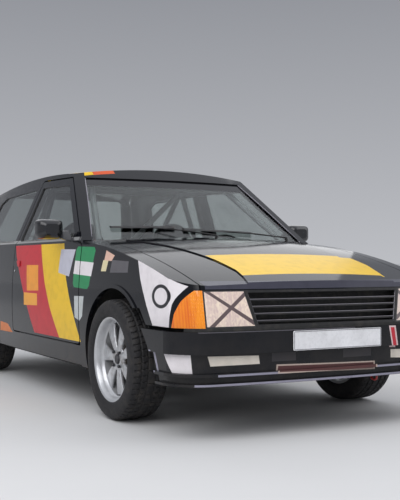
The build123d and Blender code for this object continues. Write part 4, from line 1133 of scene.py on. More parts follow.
BUMPER_MARKS: tuple[Mark, ...] = (
    # painted highlights: lavender lines along the bumper's and the spoiler's edges, and a thin grey line
    # along the bumper's top, stand for the sky reflected in the glossy black; then the tape and stickers
    # over the bumper
    Patch(Axes.FRONT, (
        (-0.610, 0.2960), (0.610, 0.2960), (0.610, 0.2840), (-0.610, 0.2840),
    ), PAINTED_HIGHLIGHT, 0.2),
    Patch(Axes.FRONT, (
        (-0.715, 0.2560), (0.715, 0.2560), (0.715, 0.2455), (-0.715, 0.2455),
    ), PAINTED_HIGHLIGHT, 0.2),
    # painted highlight: thin grey line along the bumper's top ledge
    Patch(Axes.FRONT, (
        (-0.700, 0.4850), (0.120, 0.4850), (0.120, 0.4795), (-0.700, 0.4795),
    ), (0.10, 0.095, 0.11), 0.25),
    Patch(Axes.FRONT, (
        (-0.650, 0.377), (-0.398, 0.372), (-0.392, 0.333), (-0.637, 0.332),
    ), (0.72, 0.66, 0.58)),
    Patch(Axes.FRONT, (
        (-0.306, 0.327), (0.262, 0.315), (0.264, 0.273), (-0.311, 0.287),
    ), (0.55, 0.44, 0.38)),
    Patch(Axes.FRONT, (
        (-0.298, 0.320), (0.254, 0.309), (0.256, 0.280), (-0.302, 0.293),
    ), (0.10, 0.035, 0.035)),
    Patch(Axes.FRONT, (
        (-0.331, 0.380), (-0.202, 0.380), (-0.202, 0.340), (-0.331, 0.340),
    ), (0.035, 0.033, 0.037)),
    Patch(Axes.FRONT, (
        (0.066, 0.380), (0.238, 0.380), (0.238, 0.340), (0.066, 0.340),
    ), (0.035, 0.033, 0.037)),
    Patch(Axes.FRONT, (
        (0.335, 0.483), (0.380, 0.482), (0.398, 0.373), (0.357, 0.375),
    ), (0.72, 0.55, 0.55)),
    Patch(Axes.FRONT, (
        (0.345, 0.475), (0.371, 0.474), (0.387, 0.381), (0.364, 0.382),
    ), (0.55, 0.03, 0.05)),
    Patch(Axes.FRONT, (
        (0.365, 0.365), (0.436, 0.363), (0.435, 0.320), (0.365, 0.324),
    ), (0.72, 0.66, 0.58)),
    Patch(Axes.SIDE, ((1.755, 0.380), (1.896, 0.386), (1.901, 0.301), (1.820, 0.301)), CREAM),
    # painted highlight: a light sliver along the bumper's edge beside the front wheel arch
    Patch(Axes.SIDE, ((1.644, 0.392), (1.664, 0.392), (1.706, 0.300), (1.692, 0.290)), PAINTED_HIGHLIGHT, 0.25),
)
TAPE: Colour = (0.105, 0.070, 0.072)


def both_sides(rough: float, *rows: tuple[Colour, Outline]) -> tuple[Patch, ...]:
    """Marks seen from the front or the rear, first those on the right and then those on the left.

    Args:
        rough: their roughness.
        rows: each one's colour, and its corners on the left.

    Returns:
        The marks.
    """
    return tuple(
        Patch(Axes.FRONT, tuple((sign * y, z) for y, z in outline), colour, rough)
        for sign in (-1.0, 1.0)
        for colour, outline in rows
    )


TAPE_MARKS = both_sides(
    0.45,
    (TAPE, ((0.652, 0.662), (0.632, 0.666), (0.404, 0.522), (0.416, 0.506))),
    (TAPE, ((0.636, 0.506), (0.620, 0.496), (0.426, 0.654), (0.442, 0.664))),
)
LAMP_BORDERS = Borders(
    both_sides(0.3, (BLACK, ((0.412, 0.504), (0.646, 0.504), (0.646, 0.659), (0.4535, 0.659))))
)
TAIL_MARKS = both_sides(
    0.15,
    ((0.80, 0.20, 0.01), ((0.672, 0.640), (0.920, 0.640), (0.920, 0.802), (0.672, 0.802))),
    ((0.62, 0.60, 0.58), ((0.540, 0.648), (0.612, 0.648), (0.612, 0.714), (0.540, 0.714))),
    (BLACK, ((0.668, 0.640), (0.674, 0.640), (0.674, 0.802), (0.668, 0.802))),
    (BLACK, ((0.530, 0.714), (0.668, 0.714), (0.668, 0.719), (0.530, 0.719))),
    (BLACK, ((0.612, 0.640), (0.617, 0.640), (0.617, 0.714), (0.612, 0.714))),
)


# ---------------------------------------------------------------- pieces


def dress(node: str, finish: Finish) -> None:
    """Gives a frame node one finish in place of what it has.

    Args:
        node: the node's name.
        finish: its finish.
    """
    slots = NODES[node].data.materials
    slots.clear()
    slots.append(finish.build())


def finished(piece: Piece, finish: Finish, body: str = BODY) -> None:
    """Gives a new piece its finish, body and slot.

    Args:
        piece: the new object.
        finish: its finish.
        body: the body it rides on.
    """
    piece.data.materials.append(finish.build())
    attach(piece, body)
    log.info("%s rides on %s", piece.name, body)


def assembled(name: str, parts: list[Piece], finish: Finish, body: str = BODY) -> None:
    """Joins parts into one new piece and finishes it.

    Args:
        name: the piece's name.
        parts: its parts, which are removed.
        finish: its finish.
        body: the body it rides on.
    """
    finished(joined(name, parts), finish, body)


@dataclass
class Tyre:
    """A low road tyre: a bulging side wall and a cut tread, as one closed ring."""

    corner: Corner
    radius: float = 0.303
    plane_y: float = 0.705
    steps: int = 480
    places: int = 92
    wall: Outline = (
        (-0.084, 0.2055), (-0.092, 0.214), (-0.099, 0.230), (-0.1015, 0.250),
        (-0.1005, 0.270), (-0.096, 0.286), (-0.088, 0.2955), (-0.078, 0.2995),
    )
    crown: float = 0.003
    bead_back: Point2 = (0.080, 0.2052)
    tread_from: float = 0.283
    cut_depth: float = 0.005
    grooves: Point2 = (0.019, 0.052)
    groove_half: float = 0.0042
    slots: float = 60.0
    slot_lean: float = 0.05
    slot_half: float = 0.10
    shoulder: Point2 = (0.023, 0.090)
    sipe_half: float = 0.04
    sipe_reach: float = 0.015
    cut_fade: float = 0.012
    wall_ring: Point2 = (0.222, 0.226)
    ring_proud: float = 0.012

    def section(self) -> tuple[np.ndarray, np.ndarray]:
        """Outline of the cross-section, from bead to bead over the tread.

        The chosen places of one wall and their mirror image are joined by straight runs, divided
        evenly and smoothed by a running mean of five. The tread bulges by a parabola.

        Returns:
            Distances across and radii.
        """
        wall = np.array(self.wall)
        line = np.concatenate([wall, wall[::-1] * (-1.0, 1.0)])
        length = np.concatenate([[0.0], np.cumsum(np.hypot(*np.diff(line, axis=0).T))])
        even = np.linspace(0.0, length[-1], self.places)
        y, r = np.interp(even, length, line[:, 0]), np.interp(even, length, line[:, 1])
        kernel = np.ones(5) / 5.0
        y[2:-2], r[2:-2] = np.convolve(y, kernel, "valid"), np.convolve(r, kernel, "valid")
        return y, r + self.crown * np.clip(1.0 - (y / 0.08) ** 2, 0.0, None)

    def points(self) -> np.ndarray:
        """Grid of the outer skin and the bead's back.

        The radius drops by the cut depth where a place across lies in one of four grooves, or where
        the angle plus a lean across lies in a shoulder slot or, half as often, in a fine cut of the
        middle rib. The side wall gets a raised ring.

        Returns:
            Array (steps, n, 3) about the wheel's centre.
        """
        y, r = self.section()
        a = turns(self.steps)[:, None]
        edge = np.abs(y)[None, :]
        rings = np.min(np.abs(edge[..., None] - np.array(self.grooves)), -1) < self.groove_half
        phase = (a + edge / self.shoulder[1] * self.slot_lean) * self.slots / TAU
        on_shoulder = (edge > self.shoulder[0]) & (edge < self.shoulder[1])
        slots = (np.abs(phase % 1.0 - 0.5) < self.slot_half) & on_shoulder
        sipes = (np.abs((phase * 0.5) % 1.0 - 0.5) < self.sipe_half) & (edge < self.sipe_reach)
        above = r[None, :] - self.tread_from
        cut = (rings | slots | sipes) & (above > 0.0)
        skin = r[None, :] - self.cut_depth * cut * np.clip(above / self.cut_fade, 0.0, 1.0)
        y = y * (1.0 + self.ring_proud * ((r > self.wall_ring[0]) & (r < self.wall_ring[1])))
        across, back = self.bead_back
        y = np.concatenate([y, [across, -across]])[None, :]
        skin = np.concatenate([skin, np.full((self.steps, 2), back)], 1)
        return np.stack([skin * np.cos(a), self.corner.sign * y + 0.0 * a, skin * np.sin(a)], -1)

    def build(self) -> None:
        """Makes the ring, which stands for the plain one of the frame."""
        word, centre = self.corner.word, self.corner.centre(self.plane_y, self.radius)
        piece = grid(f"tyre_{word}_rubber", self.points() + np.array(centre), True, True)
        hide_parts(f"tyre_{word}")
        finished(piece, Rubber(f"rubber_{word}", centre), f"wheel_{word}")


@dataclass
class AlloyWheel:
    """A seven-spoke alloy: a stepped barrel, broad blades, a domed hub, nuts and a cap."""

    corner: Corner
    spokes: int = 7
    plane_y: float = 0.705
    axle_z: float = 0.303
    face: float = 0.052
    phase: float = math.radians(20.0)
    barrel: Outline = (
        (0.2190, 0.0845), (0.2195, 0.0890), (0.2170, 0.0905), (0.2120, 0.0895), (0.2050, 0.0870),
        (0.1985, 0.0800), (0.1955, 0.0600), (0.1915, 0.0480), (0.1860, 0.0420), (0.1850, 0.0250),
        (0.1820, 0.0150), (0.1820, -0.0400), (0.1960, -0.0840), (0.2190, -0.0903), (0.2190, -0.0845),
        (0.2046, -0.0843), (0.1910, -0.0400), (0.1910, 0.0200), (0.2046, 0.0700), (0.2046, 0.0843),
    )
    hub: Outline = (
        (0.0252, -0.026), (0.0252, -0.004), (0.030, -0.001), (0.038, 0.0), (0.050, -0.001),
        (0.061, -0.006), (0.064, -0.012), (0.062, -0.022), (0.055, -0.026),
    )
    nuts: int = 4
    nut_circle: float = 0.047
    nut_radius: float = 0.0085
    cap_radius: float = 0.0248
    valve: Outline = ((0.186, 0.046), (0.182, 0.060), (0.180, 0.074))
    valve_turn: Point2 = (0.3, -0.954)

    def blade(self, turn: float) -> np.ndarray:
        """One spoke as rings of a rounded box carried outwards.

        At share u of the way out the half width grows from 18 to 45 mm with u to the power 1.3, the
        depth falls from 24 to 16 mm and the face rises by a shallow arch; the ring is a superellipse.

        Args:
            turn: the spoke's angle about the axle.

        Returns:
            Array (rings, ring points, 3) about the wheel's centre.
        """
        u = np.linspace(0.0, 1.0, 14)[:, None]
        a = turns(28)[None, :]
        out = 0.040 + 0.147 * u
        half = 0.018 + 0.027 * u**1.3
        deep = 0.012 - 0.004 * u
        top = self.face - 0.004 + 0.006 * np.sin(np.pi * u) - 0.006 * u
        across = half * squared_off(np.cos(a), 0.45)
        up = top - deep + deep * squared_off(np.sin(a), 0.6)
        x = out * np.cos(turn) - across * np.sin(turn)
        z = out * np.sin(turn) + across * np.cos(turn)
        return np.stack([x, self.corner.sign * up, z], -1)

    def build(self) -> None:
        """Makes the wheel's metal as one piece, with nuts and cap as another."""
        word, sign = self.corner.word, self.corner.sign
        centre = self.corner.centre(self.plane_y, self.axle_z)
        parts = [revolve(f"barrel_{word}", self.barrel, centre, 120, Axis.Y, sign)]
        for i in range(self.spokes):
            blade = self.blade(self.phase + TAU * i / self.spokes) + np.array(centre)
            parts.append(grid(f"blade_{word}_{i}", blade, False, True, True))
        hub = tuple((r, self.face + h) for r, h in self.hub)
        parts.append(revolve(f"hub_{word}", hub, centre, 72, Axis.Y, sign))
        metal = joined(f"alloy_{word}", parts)
        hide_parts(f"rim_{word}")
        finished(metal, Alloy(f"silver_{word}", centre), f"wheel_{word}")
        self.fasten(centre)

    def stud(self, place: Point3, radius: float, corners: int, tall: float, edge: float) -> Piece:
        """A small round or six-sided plate that stands out from the wheel's face.

        Args:
            place: the middle of its foot.
            radius: its radius.
            corners: number of corners.
            tall: how far it stands out.
            edge: size of its soft edge.

        Returns:
            The plate.
        """
        a = turns(corners)
        ring = np.array(place) + radius * np.stack([np.cos(a), 0.0 * a, np.sin(a)], -1)
        return slab("stud", ring, (0.0, self.corner.sign * tall, 0.0), edge)

    def fasten(self, centre: Point3) -> None:
        """Adds the nuts, a dark cap and a valve.

        Args:
            centre: the wheel's centre.
        """
        word, sign = self.corner.word, self.corner.sign
        parts = []
        for i in range(self.nuts):
            turn = TAU * (i + 0.5) / self.nuts
            x = centre[0] + self.nut_circle * math.cos(turn)
            z = centre[2] + self.nut_circle * math.sin(turn)
            foot = (x, centre[1] + sign * (self.face - 0.004), z)
            parts.append(self.stud(foot, self.nut_radius, 6, 0.016, 0.002))
        foot = (centre[0], centre[1] + sign * (self.face - 0.012), centre[2])
        parts.append(self.stud(foot, self.cap_radius, 36, 0.017, 0.004))
        r, h = np.array(self.valve).T
        stem = np.stack([self.valve_turn[0] * r, sign * h, self.valve_turn[1] * r], -1) + np.array(centre)
        parts.append(tube(f"valve_{word}", stem, 0.003, 8))
        dark = Moulded(f"nut_steel_{word}", (0.05, 0.05, 0.055), 0.35, 0.7)
        assembled(f"wheel_nuts_{word}", parts, dark, f"wheel_{word}")


@dataclass
class WindowSeals:
    """Black rubber along the edges of the side windows, and grey strips beside the windscreen."""

    door_window: Outline = ((0.596, 0.925), (0.160, 1.263), (-0.338, 1.279), (-0.390, 0.925))
    rear_window: Outline = (
        (-0.508, 0.925), (-0.450, 1.276), (-1.150, 1.262),
        (-1.255, 1.225), (-1.400, 0.960), (-1.390, 0.925),
    )
    corner: float = 0.018
    sunk: float = 0.007
    radius: float = 0.0055
    strip_radius: float = 0.0032
    strip_bow: float = 0.010

    def seal(self, name: str, corners: Outline, side: Side, body: str) -> None:
        """A rubber along a rounded outline on the glass, just inside the outer skin.

        Args:
            name: what the rubber is called, before its side.
            corners: outline in the side view.
            side: which side of the car.
            body: the body it rides on.
        """
        x, z = round_outline(np.array(corners), self.corner).T
        ring = np.stack([x, side.value * side_y(x, z, self.sunk), z], -1)
        rubber = Moulded("window_rubber", (0.012, 0.012, 0.013), 0.45, 0.0, 300.0)
        finished(tube(f"{name}_{side.word}", ring, self.radius, 8, True), rubber, body)

    def strip(self, side: Side) -> None:
        """A strip beside the windscreen, from its glass's upper to its lower corner with a slight bow.

        Args:
            side: which side of the car.
        """
        grey = Moulded(
            "screen_edge_grey", (0.20, 0.19, 0.22), 0.25, 0.0, 200.0, 0.0002, wear_share=0.1, coat=0.5
        )
        glass = corners_of(NODES["windscreen"].data)
        own = glass[glass[:, 1] * side.value > 0.0]
        rims = own[own[:, 2] > own[:, 2].max() - 0.01], own[own[:, 2] < own[:, 2].min() + 0.03]
        top, low = (rim[np.argmax(np.abs(rim[:, 1]) + 0.2 * rim[:, 0])] for rim in rims)
        share = np.linspace(0.02, 0.985, 24)[:, None]
        path = top + (low - top) * share + np.array([0.004, -0.004 * side.value, 0.003])
        path[:, 0] += self.strip_bow * np.sin(np.pi * share[:, 0])
        finished(tube(f"screen_strip_{side.word}", path, self.strip_radius, 8), grey)

    def build(self) -> None:
        """Makes the seals of both sides and the windscreen's edge strips."""
        for side in Side:
            self.seal("door_seal", self.door_window, side, f"door_{side.word}")
            self.seal("quarter_seal", self.rear_window, side, BODY)
            self.strip(side)


@dataclass
class Plate:
    """A blank pressed plate with a raised border, on the bumper."""

    centre: Point3
    half: Point2
    facing: float
    name: str
    thick: float = 0.004
    border_inset: float = 0.004
    border_radius: float = 0.0016

    def outline(self, x: float, inset: float, corner: float) -> np.ndarray:
        """A rounded oblong square to the car's length.

        Args:
            x: where it stands.
            inset: how far inside the plate's edge it runs.
            corner: size of its round corners.

        Returns:
            Array (n, 3).
        """
        y, z = round_outline((np.array(self.half) - inset) * SQUARE, corner).T
        return np.stack([np.full_like(y, x), self.centre[1] + y, self.centre[2] + z], -1)

    def build(self) -> None:
        """Makes the plate and its border."""
        step = self.thick * self.facing
        white = Moulded(
            f"{self.name}_white", (0.78, 0.78, 0.80), 0.28, 0.0, 900.0, 0.0002, wear_share=0.12, coat=0.6
        )
        plate = slab(self.name, self.outline(self.centre[0], 0.0, 0.008), (step, 0.0, 0.0), 0.001)
        finished(plate, white, BODY)
        edge = Moulded(f"{self.name}_edge", (0.20, 0.20, 0.22), 0.3, 0.0, 600.0)
        rim = self.outline(self.centre[0] + step, self.border_inset, 0.006)
        finished(tube(f"{self.name}_border", rim, self.border_radius, 6, True), edge)


@dataclass
class BucketSeat:
    """A padded bucket seat: a hard shell, a seat pad, a back pad with side wings, and belts."""

    side: Side
    middle: float = 0.345
    half: float = 0.215
    belt_spacing: float = 0.085
    belt_half: float = 0.024

    def back_points(self, front: float, wide: float, hollow: float, in_wings: float) -> np.ndarray:
        """The backrest as closed rings carried up its lean.

        At share v up, the ring is a superellipse whose width swells at the shoulders and whose front
        is drawn in between the wings by a cosine of the place across.

        Args:
            front: thickness in front of the lean line.
            wide: factor on the half width.
            hollow: depth of the hollow between the wings.
            in_wings: share of the hollow that the wings take back.

        Returns:
            Array (rings, ring points, 3).
        """
        v = np.linspace(0.0, 1.0, 40)[:, None]
        a = turns(48)[None, :]
        shoulders = 0.16 * np.sin(np.pi * np.clip(v * 1.35, 0.0, 1.0))
        shape = 0.86 + shoulders - 0.44 * np.clip(v - 0.72, 0.0, None) / 0.28
        end = np.clip(1.0 - np.abs(2.0 * v - 1.0) ** 14, 0.02, 1.0) ** 0.5
        across = squared_off(np.cos(a), 0.55)
        thick = squared_off(np.sin(a), 0.7)
        wing = (1.0 - np.cos(np.pi * np.clip(np.abs(across), 0.0, 1.0))) * 0.5
        depth = np.where(thick > 0.0, front - hollow * (1.0 - in_wings * wing), 0.030) * end * thick
        x = -0.215 - 0.175 * v + 0.96 * depth
        y = self.side.value * (self.middle + self.half * wide * shape * end * across)
        z = 0.46 + 0.60 * v + 0.28 * depth
        return np.stack([x, y, z], -1)

    def seat_points(self) -> np.ndarray:
        """The seat pad as closed rings carried from the back to the knees.

        The top is lowest in the middle and rises to both sides; the front edge is raised and rounded.

        Returns:
            Array (rings, ring points, 3).
        """
        u = np.linspace(0.0, 1.0, 36)[:, None]
        a = turns(44)[None, :]
        end = np.clip(1.0 - np.abs(2.0 * u - 1.0) ** 12, 0.03, 1.0) ** 0.5
        across = squared_off(np.cos(a), 0.5)
        thick = squared_off(np.sin(a), 0.6)
        top = 0.075 + 0.028 * across**4 + 0.016 * np.sin(np.pi * u * 0.9)
        x = -0.235 + 0.36 * u + 0.0 * a
        y = self.side.value * (self.middle + (self.half - 0.012) * across * end)
        z = 0.375 + 0.030 * u + np.where(thick > 0.0, top, 0.075) * thick * end
        return np.stack([x, y, z], -1)

    def build(self) -> None:
        """Makes the shell, both pads and the belts."""
        word = self.side.word
        cloth = Cloth(f"seat_cloth_{word}", (0.018, 0.019, 0.024), (0.060, 0.062, 0.075))
        back = grid(f"seat_back_{word}", self.back_points(0.085, 0.96, 0.050, 0.75), False, True, True)
        finished(back, cloth, BODY)
        pad = grid(f"seat_pad_{word}", self.seat_points(), False, True, True)
        finished(pad, cloth, BODY)
        shell = self.back_points(0.020, 1.0, 0.040, 1.0) + np.array([-0.018, 0.0, -0.006])
        hard = Moulded(f"seat_shell_{word}", (0.015, 0.015, 0.016), 0.25, 0.0, 250.0, coat=0.5)
        finished(grid(f"seat_shell_{word}", shell, False, True, True), hard)
        self.belts()

    def belts(self) -> None:
        """Two shoulder belts as flat bands over the backrest.

        The band's middle line leans with the backrest and bows off it by a sine.
        """
        s = np.linspace(0.0, 1.0, 30)
        x = -0.138 - 0.150 * s + 0.012 * np.sin(np.pi * s)
        parts = []
        for offset in (-self.belt_spacing, self.belt_spacing):
            y = self.side.value * self.middle + offset * (1.0 - 0.2 * s)
            path = np.stack([x, y, 0.50 + 0.44 * s], -1)
            parts.append(tube(f"belt_{offset}", path, self.belt_half, 12, False, 0.07))
        red = Cloth(f"belt_webbing_{self.side.word}", (0.28, 0.012, 0.016), (0.42, 0.03, 0.03), 500.0)
        assembled(f"belts_{self.side.word}", parts, red, BODY)


@dataclass
class Mirror:
    """A door mirror: a rounded housing open to the rear, its pane and its foot on the door."""

    side: Side
    middle: Point2 = (0.8575, 0.979)
    half: Point2 = (0.079, 0.0575)
    rear: float = 0.429
    deep: float = 0.083
    foot: Outline = ((0.556, 0.911), (0.472, 0.973), (0.434, 0.973), (0.434, 0.938), (0.500, 0.911))
    foot_steps: Outline = ((0.748, 1.0), (0.772, 0.97), (0.790, 0.80), (0.806, 0.50))

    def ring(self, x: np.ndarray, scale: np.ndarray) -> np.ndarray:
        """Rounded oblongs square to the car's length: the cosine and sine of a turn to the power 0.42.

        Args:
            x: their places along the car.
            scale: their sizes against the largest.

        Returns:
            Array (rings, 48, 3).
        """
        a = turns(48)[None, :]
        y = self.middle[0] + self.half[0] * scale[:, None] * squared_off(np.cos(a), 0.42)
        z = self.middle[1] + self.half[1] * scale[:, None] * squared_off(np.sin(a), 0.42)
        return np.stack([x[:, None] + 0.0 * a, self.side.value * y, z], -1)

    def housing(self) -> Piece:
        """The shell, full at its mouth and closing in to the front with the fifth power of the share.

        Returns:
            The shell.
        """
        share = np.linspace(0.0, 1.0, 14)
        x = np.concatenate([[self.rear + 0.008, self.rear + 0.001], self.rear + self.deep * share])
        scale = np.concatenate([[0.90, 0.93], 1.0 - 0.06 * share - 0.44 * share**5])
        scale[2] = 0.975
        return grid(f"housing_{self.side.word}", self.ring(x, scale), False, True, True)

    def arm(self) -> Piece:
        """The foot's outline, drawn in step by step from the door to the housing.

        Returns:
            The foot.
        """
        outline = round_outline(np.array(self.foot), 0.012)
        middle = outline.mean(0)
        y, scale = np.array(self.foot_steps).T[..., None]
        flat = middle + (outline - middle) * scale[..., None]
        points = np.stack([flat[..., 0], self.side.value * y + 0.0 * flat[..., 0], flat[..., 1]], -1)
        return grid(f"foot_{self.side.word}", points, False, True, True)

    def build(self) -> None:
        """Makes the housing with its foot, and the pane set back in its mouth."""
        word = self.side.word
        gloss = Moulded(
            f"mirror_black_{word}", (0.010, 0.0105, 0.013), 0.16, 0.0, 300.0, 0.0002,
            wear_share=0.08, coat=0.3,
        )
        whole = joined(f"mirror_housing_{word}", [self.housing(), self.arm()])
        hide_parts(f"door_mirror_{word}")
        finished(whole, gloss, f"door_{word}")
        line = self.ring(np.array([self.rear + 0.0075]), np.array([0.885]))[0]
        pane = slab(f"mirror_pane_{word}", line, (-0.0016, 0.0, 0.0), 0.0006)
        silver = Moulded(
            f"mirror_silver_{word}", (0.86, 0.88, 0.90), 0.03, 1.0, 50.0, 0.00002, wear_share=0.02
        )
        finished(pane, silver, f"door_{word}")


@dataclass
class Fittings:
    """Door handles and locks, the fuel flap, a tow eye, the rear wiper and the tailgate's lock."""

    handle: Outline = ((-0.428, 0.762), (-0.300, 0.762), (-0.300, 0.800), (-0.428, 0.800))
    lock_middle: Point2 = (-0.405, 0.735)
    lock_radius: float = 0.008
    flap_middle: Point2 = (-1.560, 0.790)
    flap_radius: float = 0.078
    seam_radius: float = 0.0012
    eye_middle: Point3 = (1.905, 0.300, 0.232)
    eye_radii: Point2 = (0.021, 0.017)
    barrel: Outline = ((0.0003, 0.0), (0.0113, 0.0), (0.0113, 0.006), (0.0093, 0.008), (0.0003, 0.008))
    barrel_foot: Point3 = (-1.9375, 0.0, 0.600)
    black: Finish = Moulded("fitting_black", (0.013, 0.013, 0.014), 0.35, 0.0, 400.0)
    steel: Finish = Moulded("lock_steel", (0.55, 0.55, 0.56), 0.25, 1.0, 300.0, wear_share=0.15)

    def on_side(self, name: str, line: np.ndarray, side: Side, proud: float, edge: float) -> Piece:
        """A plate that follows the car's side.

        Args:
            name: the plate's name.
            line: outline in the side view, array (n, 2).
            side: which side of the car.
            proud: how far it stands out.
            edge: size of its soft edge.

        Returns:
            The plate.
        """
        y = side.value * side_y(line[:, 0], line[:, 1], 0.001)
        step = (0.0, side.value * (proud + 0.001), 0.0)
        return slab(name, np.stack([line[:, 0], y, line[:, 1]], -1), step, edge)

    def build(self) -> None:
        """Makes the small fittings of both sides, the nose and the tail."""
        a = turns(40)
        circle = np.stack([np.cos(a), np.sin(a)], -1)
        lever = round_outline(np.array(self.handle), 0.010)
        key = np.array(self.lock_middle) + self.lock_radius * circle
        for side in Side:
            door = f"door_{side.word}"
            handle = self.on_side(f"handle_{side.word}", lever, side, 0.004, 0.002)
            finished(handle, Paint("handle_paint", SIDE_MARKS), door)
            finished(self.on_side(f"lock_{side.word}", key, side, 0.003, 0.001), self.steel, door)
        self.fuel_flap(circle)
        eye = np.array(self.eye_middle) + np.insert(circle * self.eye_radii, 1, 0.0, 1)
        tow_red = Moulded("tow_red", (0.34, 0.012, 0.012), 0.4, 0.0, 200.0, coat=0.2)
        finished(tube("tow_eye", eye, 0.0055, 10, True), tow_red)
        self.rear_wiper()
        lock = revolve("tailgate_lock", self.barrel, self.barrel_foot, 28, Axis.X, -1.0)
        finished(lock, self.steel, "tailgate")

    def fuel_flap(self, circle: np.ndarray) -> None:
        """A round flap on the right side, with the dark seam round it.

        Args:
            circle: places round a circle of radius one, array (n, 2).
        """
        disc = np.array(self.flap_middle) + self.flap_radius * circle
        flap = self.on_side("fuel_flap", disc, Side.RIGHT, 0.0016, 0.001)
        finished(flap, Paint("flap_paint"), BODY)
        x, z = (np.array(self.flap_middle) + (self.flap_radius + 0.0016) * circle).T
        seam = np.stack([x, -side_y(x, z, 0.0004), z], -1)
        finished(tube("fuel_flap_seam", seam, self.seam_radius, 6, True), self.black)

    def over_glass(self, y: np.ndarray, z: np.ndarray, off: Point2) -> np.ndarray:
        """Places near the rear glass.

        The glass leans by 300 in 420 mm and bends with y squared over 6.4 metres.

        Args:
            y: places across the car.
            z: their heights on the glass.
            off: how far they stand behind the glass, and above.

        Returns:
            Array (n, 3).
        """
        x = -1.790 + 0.300 / 0.420 * (z - 0.930) + y**2 / 6.4
        return np.stack([x - off[0], y, z + off[1]], -1)

    def rear_wiper(self) -> None:
        """A wiper parked along the foot of the rear glass."""
        y = np.linspace(-0.34, 0.10, 30)
        edge = self.over_glass(y, 1.000 + 0.010 * (y - 0.10), (0.010, 0.007))
        share = np.linspace(0.0, 1.0, 16)
        lever = self.over_glass(0.02 - 0.14 * share, 0.966 + 0.034 * share, (0.017, 0.010))
        parts = [tube("blade", edge, 0.0045, 8), tube("arm", lever, 0.005, 8)]
        assembled("rear_wiper", parts, self.black, "tailgate")


class Body:
    """Finishes of the carried-over body, lamps, glass, cabin and running gear."""

    def panels(self) -> dict[str, Finish]:
        """Painted panels, lamps and glass.

        Returns:
            The finish of each frame node.
        """
        sides, plain = Paint("side_paint", SIDE_MARKS), Paint("plain_paint")
        front = Paint("front_bumper_paint", BUMPER_MARKS, 0.22, 0.12)
        glass = Glazing("window_glass", (0.52, 0.56, 0.55))
        lamp_marks = (*TAPE_MARKS, LAMP_BORDERS)
        looks: dict[str, Finish] = {
            "bonnet": Paint("bonnet_paint", BONNET_MARKS),
            "roof_panel": Paint("roof_paint", ROOF_MARKS),
            "windscreen_surround": plain,
            "rear_panel": plain,
            "tailgate": plain,
            "front_bumper": front,
            "front_spoiler": front,
            "rear_bumper": Paint("bumper_paint", (), 0.35, 0.16),
            "windscreen": Glazing("windscreen_glass", (0.66, 0.71, 0.69), 1.252),
            "rear_glass": glass,
            "quarter_glass": glass,
            "headlamps": Lens(
                "headlamp_lens", (0.93, 0.78, 0.62), (0.66, 0.50, 0.47), 70.0, lamp_marks, 130.0, 0.8
            ),
            "indicators": Lens("amber_lens", (0.95, 0.30, 0.006), (0.66, 0.08, 0.002), 110.0),
            "tail_lamps": Lens("red_lens", (0.58, 0.018, 0.018), (0.34, 0.01, 0.01), 100.0, TAIL_MARKS),
        }
        for side in Side:
            for panel in ("body_side", "door", "front_wing"):
                looks[f"{panel}_{side.word}"] = sides
            looks[f"door_glass_{side.word}"] = glass
        return looks

    def gear(self) -> dict[str, Finish]:
        """Plastic, cabin, underside and running gear.

        Returns:
            The finish of each frame node.
        """
        black = Moulded("black_plastic_grained", (0.012, 0.012, 0.013), 0.42)
        under = Moulded("underbody_black", (0.020, 0.020, 0.020), 0.8, 0.0, 240.0, 0.0012)
        steel = Moulded("bare_steel_dull", (0.30, 0.28, 0.26), 0.45, 0.9, 180.0)
        iron = Moulded("brake_iron", (0.24, 0.20, 0.17), 0.4, 0.9, 220.0)
        groups = (
            (black, ["scuttle", "grille", "wipers", "tailgate_spoiler"]),
            (black, [f"door_mirror_{side.word}" for side in Side]),
            (under, ["floor_pan", "bulkhead", "front_panel", "wheel_housings"]),
            (steel, ["exhaust", "front_suspension", "rear_suspension", "drive_shafts"]),
            (steel, [f"front_knuckle_{side.word}" for side in Side]),
            (iron, [f"brake_disc_{corner.word}" for corner in Corner]),
        )
        looks = {node: finish for finish, nodes in groups for node in nodes}
        looks["roll_cage"] = Moulded(
            "cage_enamel", (0.42, 0.43, 0.45), 0.3, 0.0, 160.0, 0.0003, wear_share=0.1, coat=0.4
        )
        looks["dashboard"] = Moulded("dash_black", (0.018, 0.018, 0.020), 0.6, 0.0, 900.0, 0.0008)
        looks["steering_wheel"] = Moulded("wheel_grip", (0.02, 0.018, 0.017), 0.55, 0.0, 700.0, 0.001)
        looks["engine"] = Moulded("cast_engine_grey", (0.16, 0.16, 0.165), 0.55, 0.6, 140.0, 0.0015)
        looks["fuel_tank"] = Moulded("tank_black", (0.02, 0.02, 0.02), 0.55)
        return looks

    def dress_all(self) -> None:
        """Gives every frame node its finish."""
        looks = self.panels() | self.gear()
        for node, finish in looks.items():
            dress(node, finish)
        log.info("%d frame nodes dressed", len(looks))


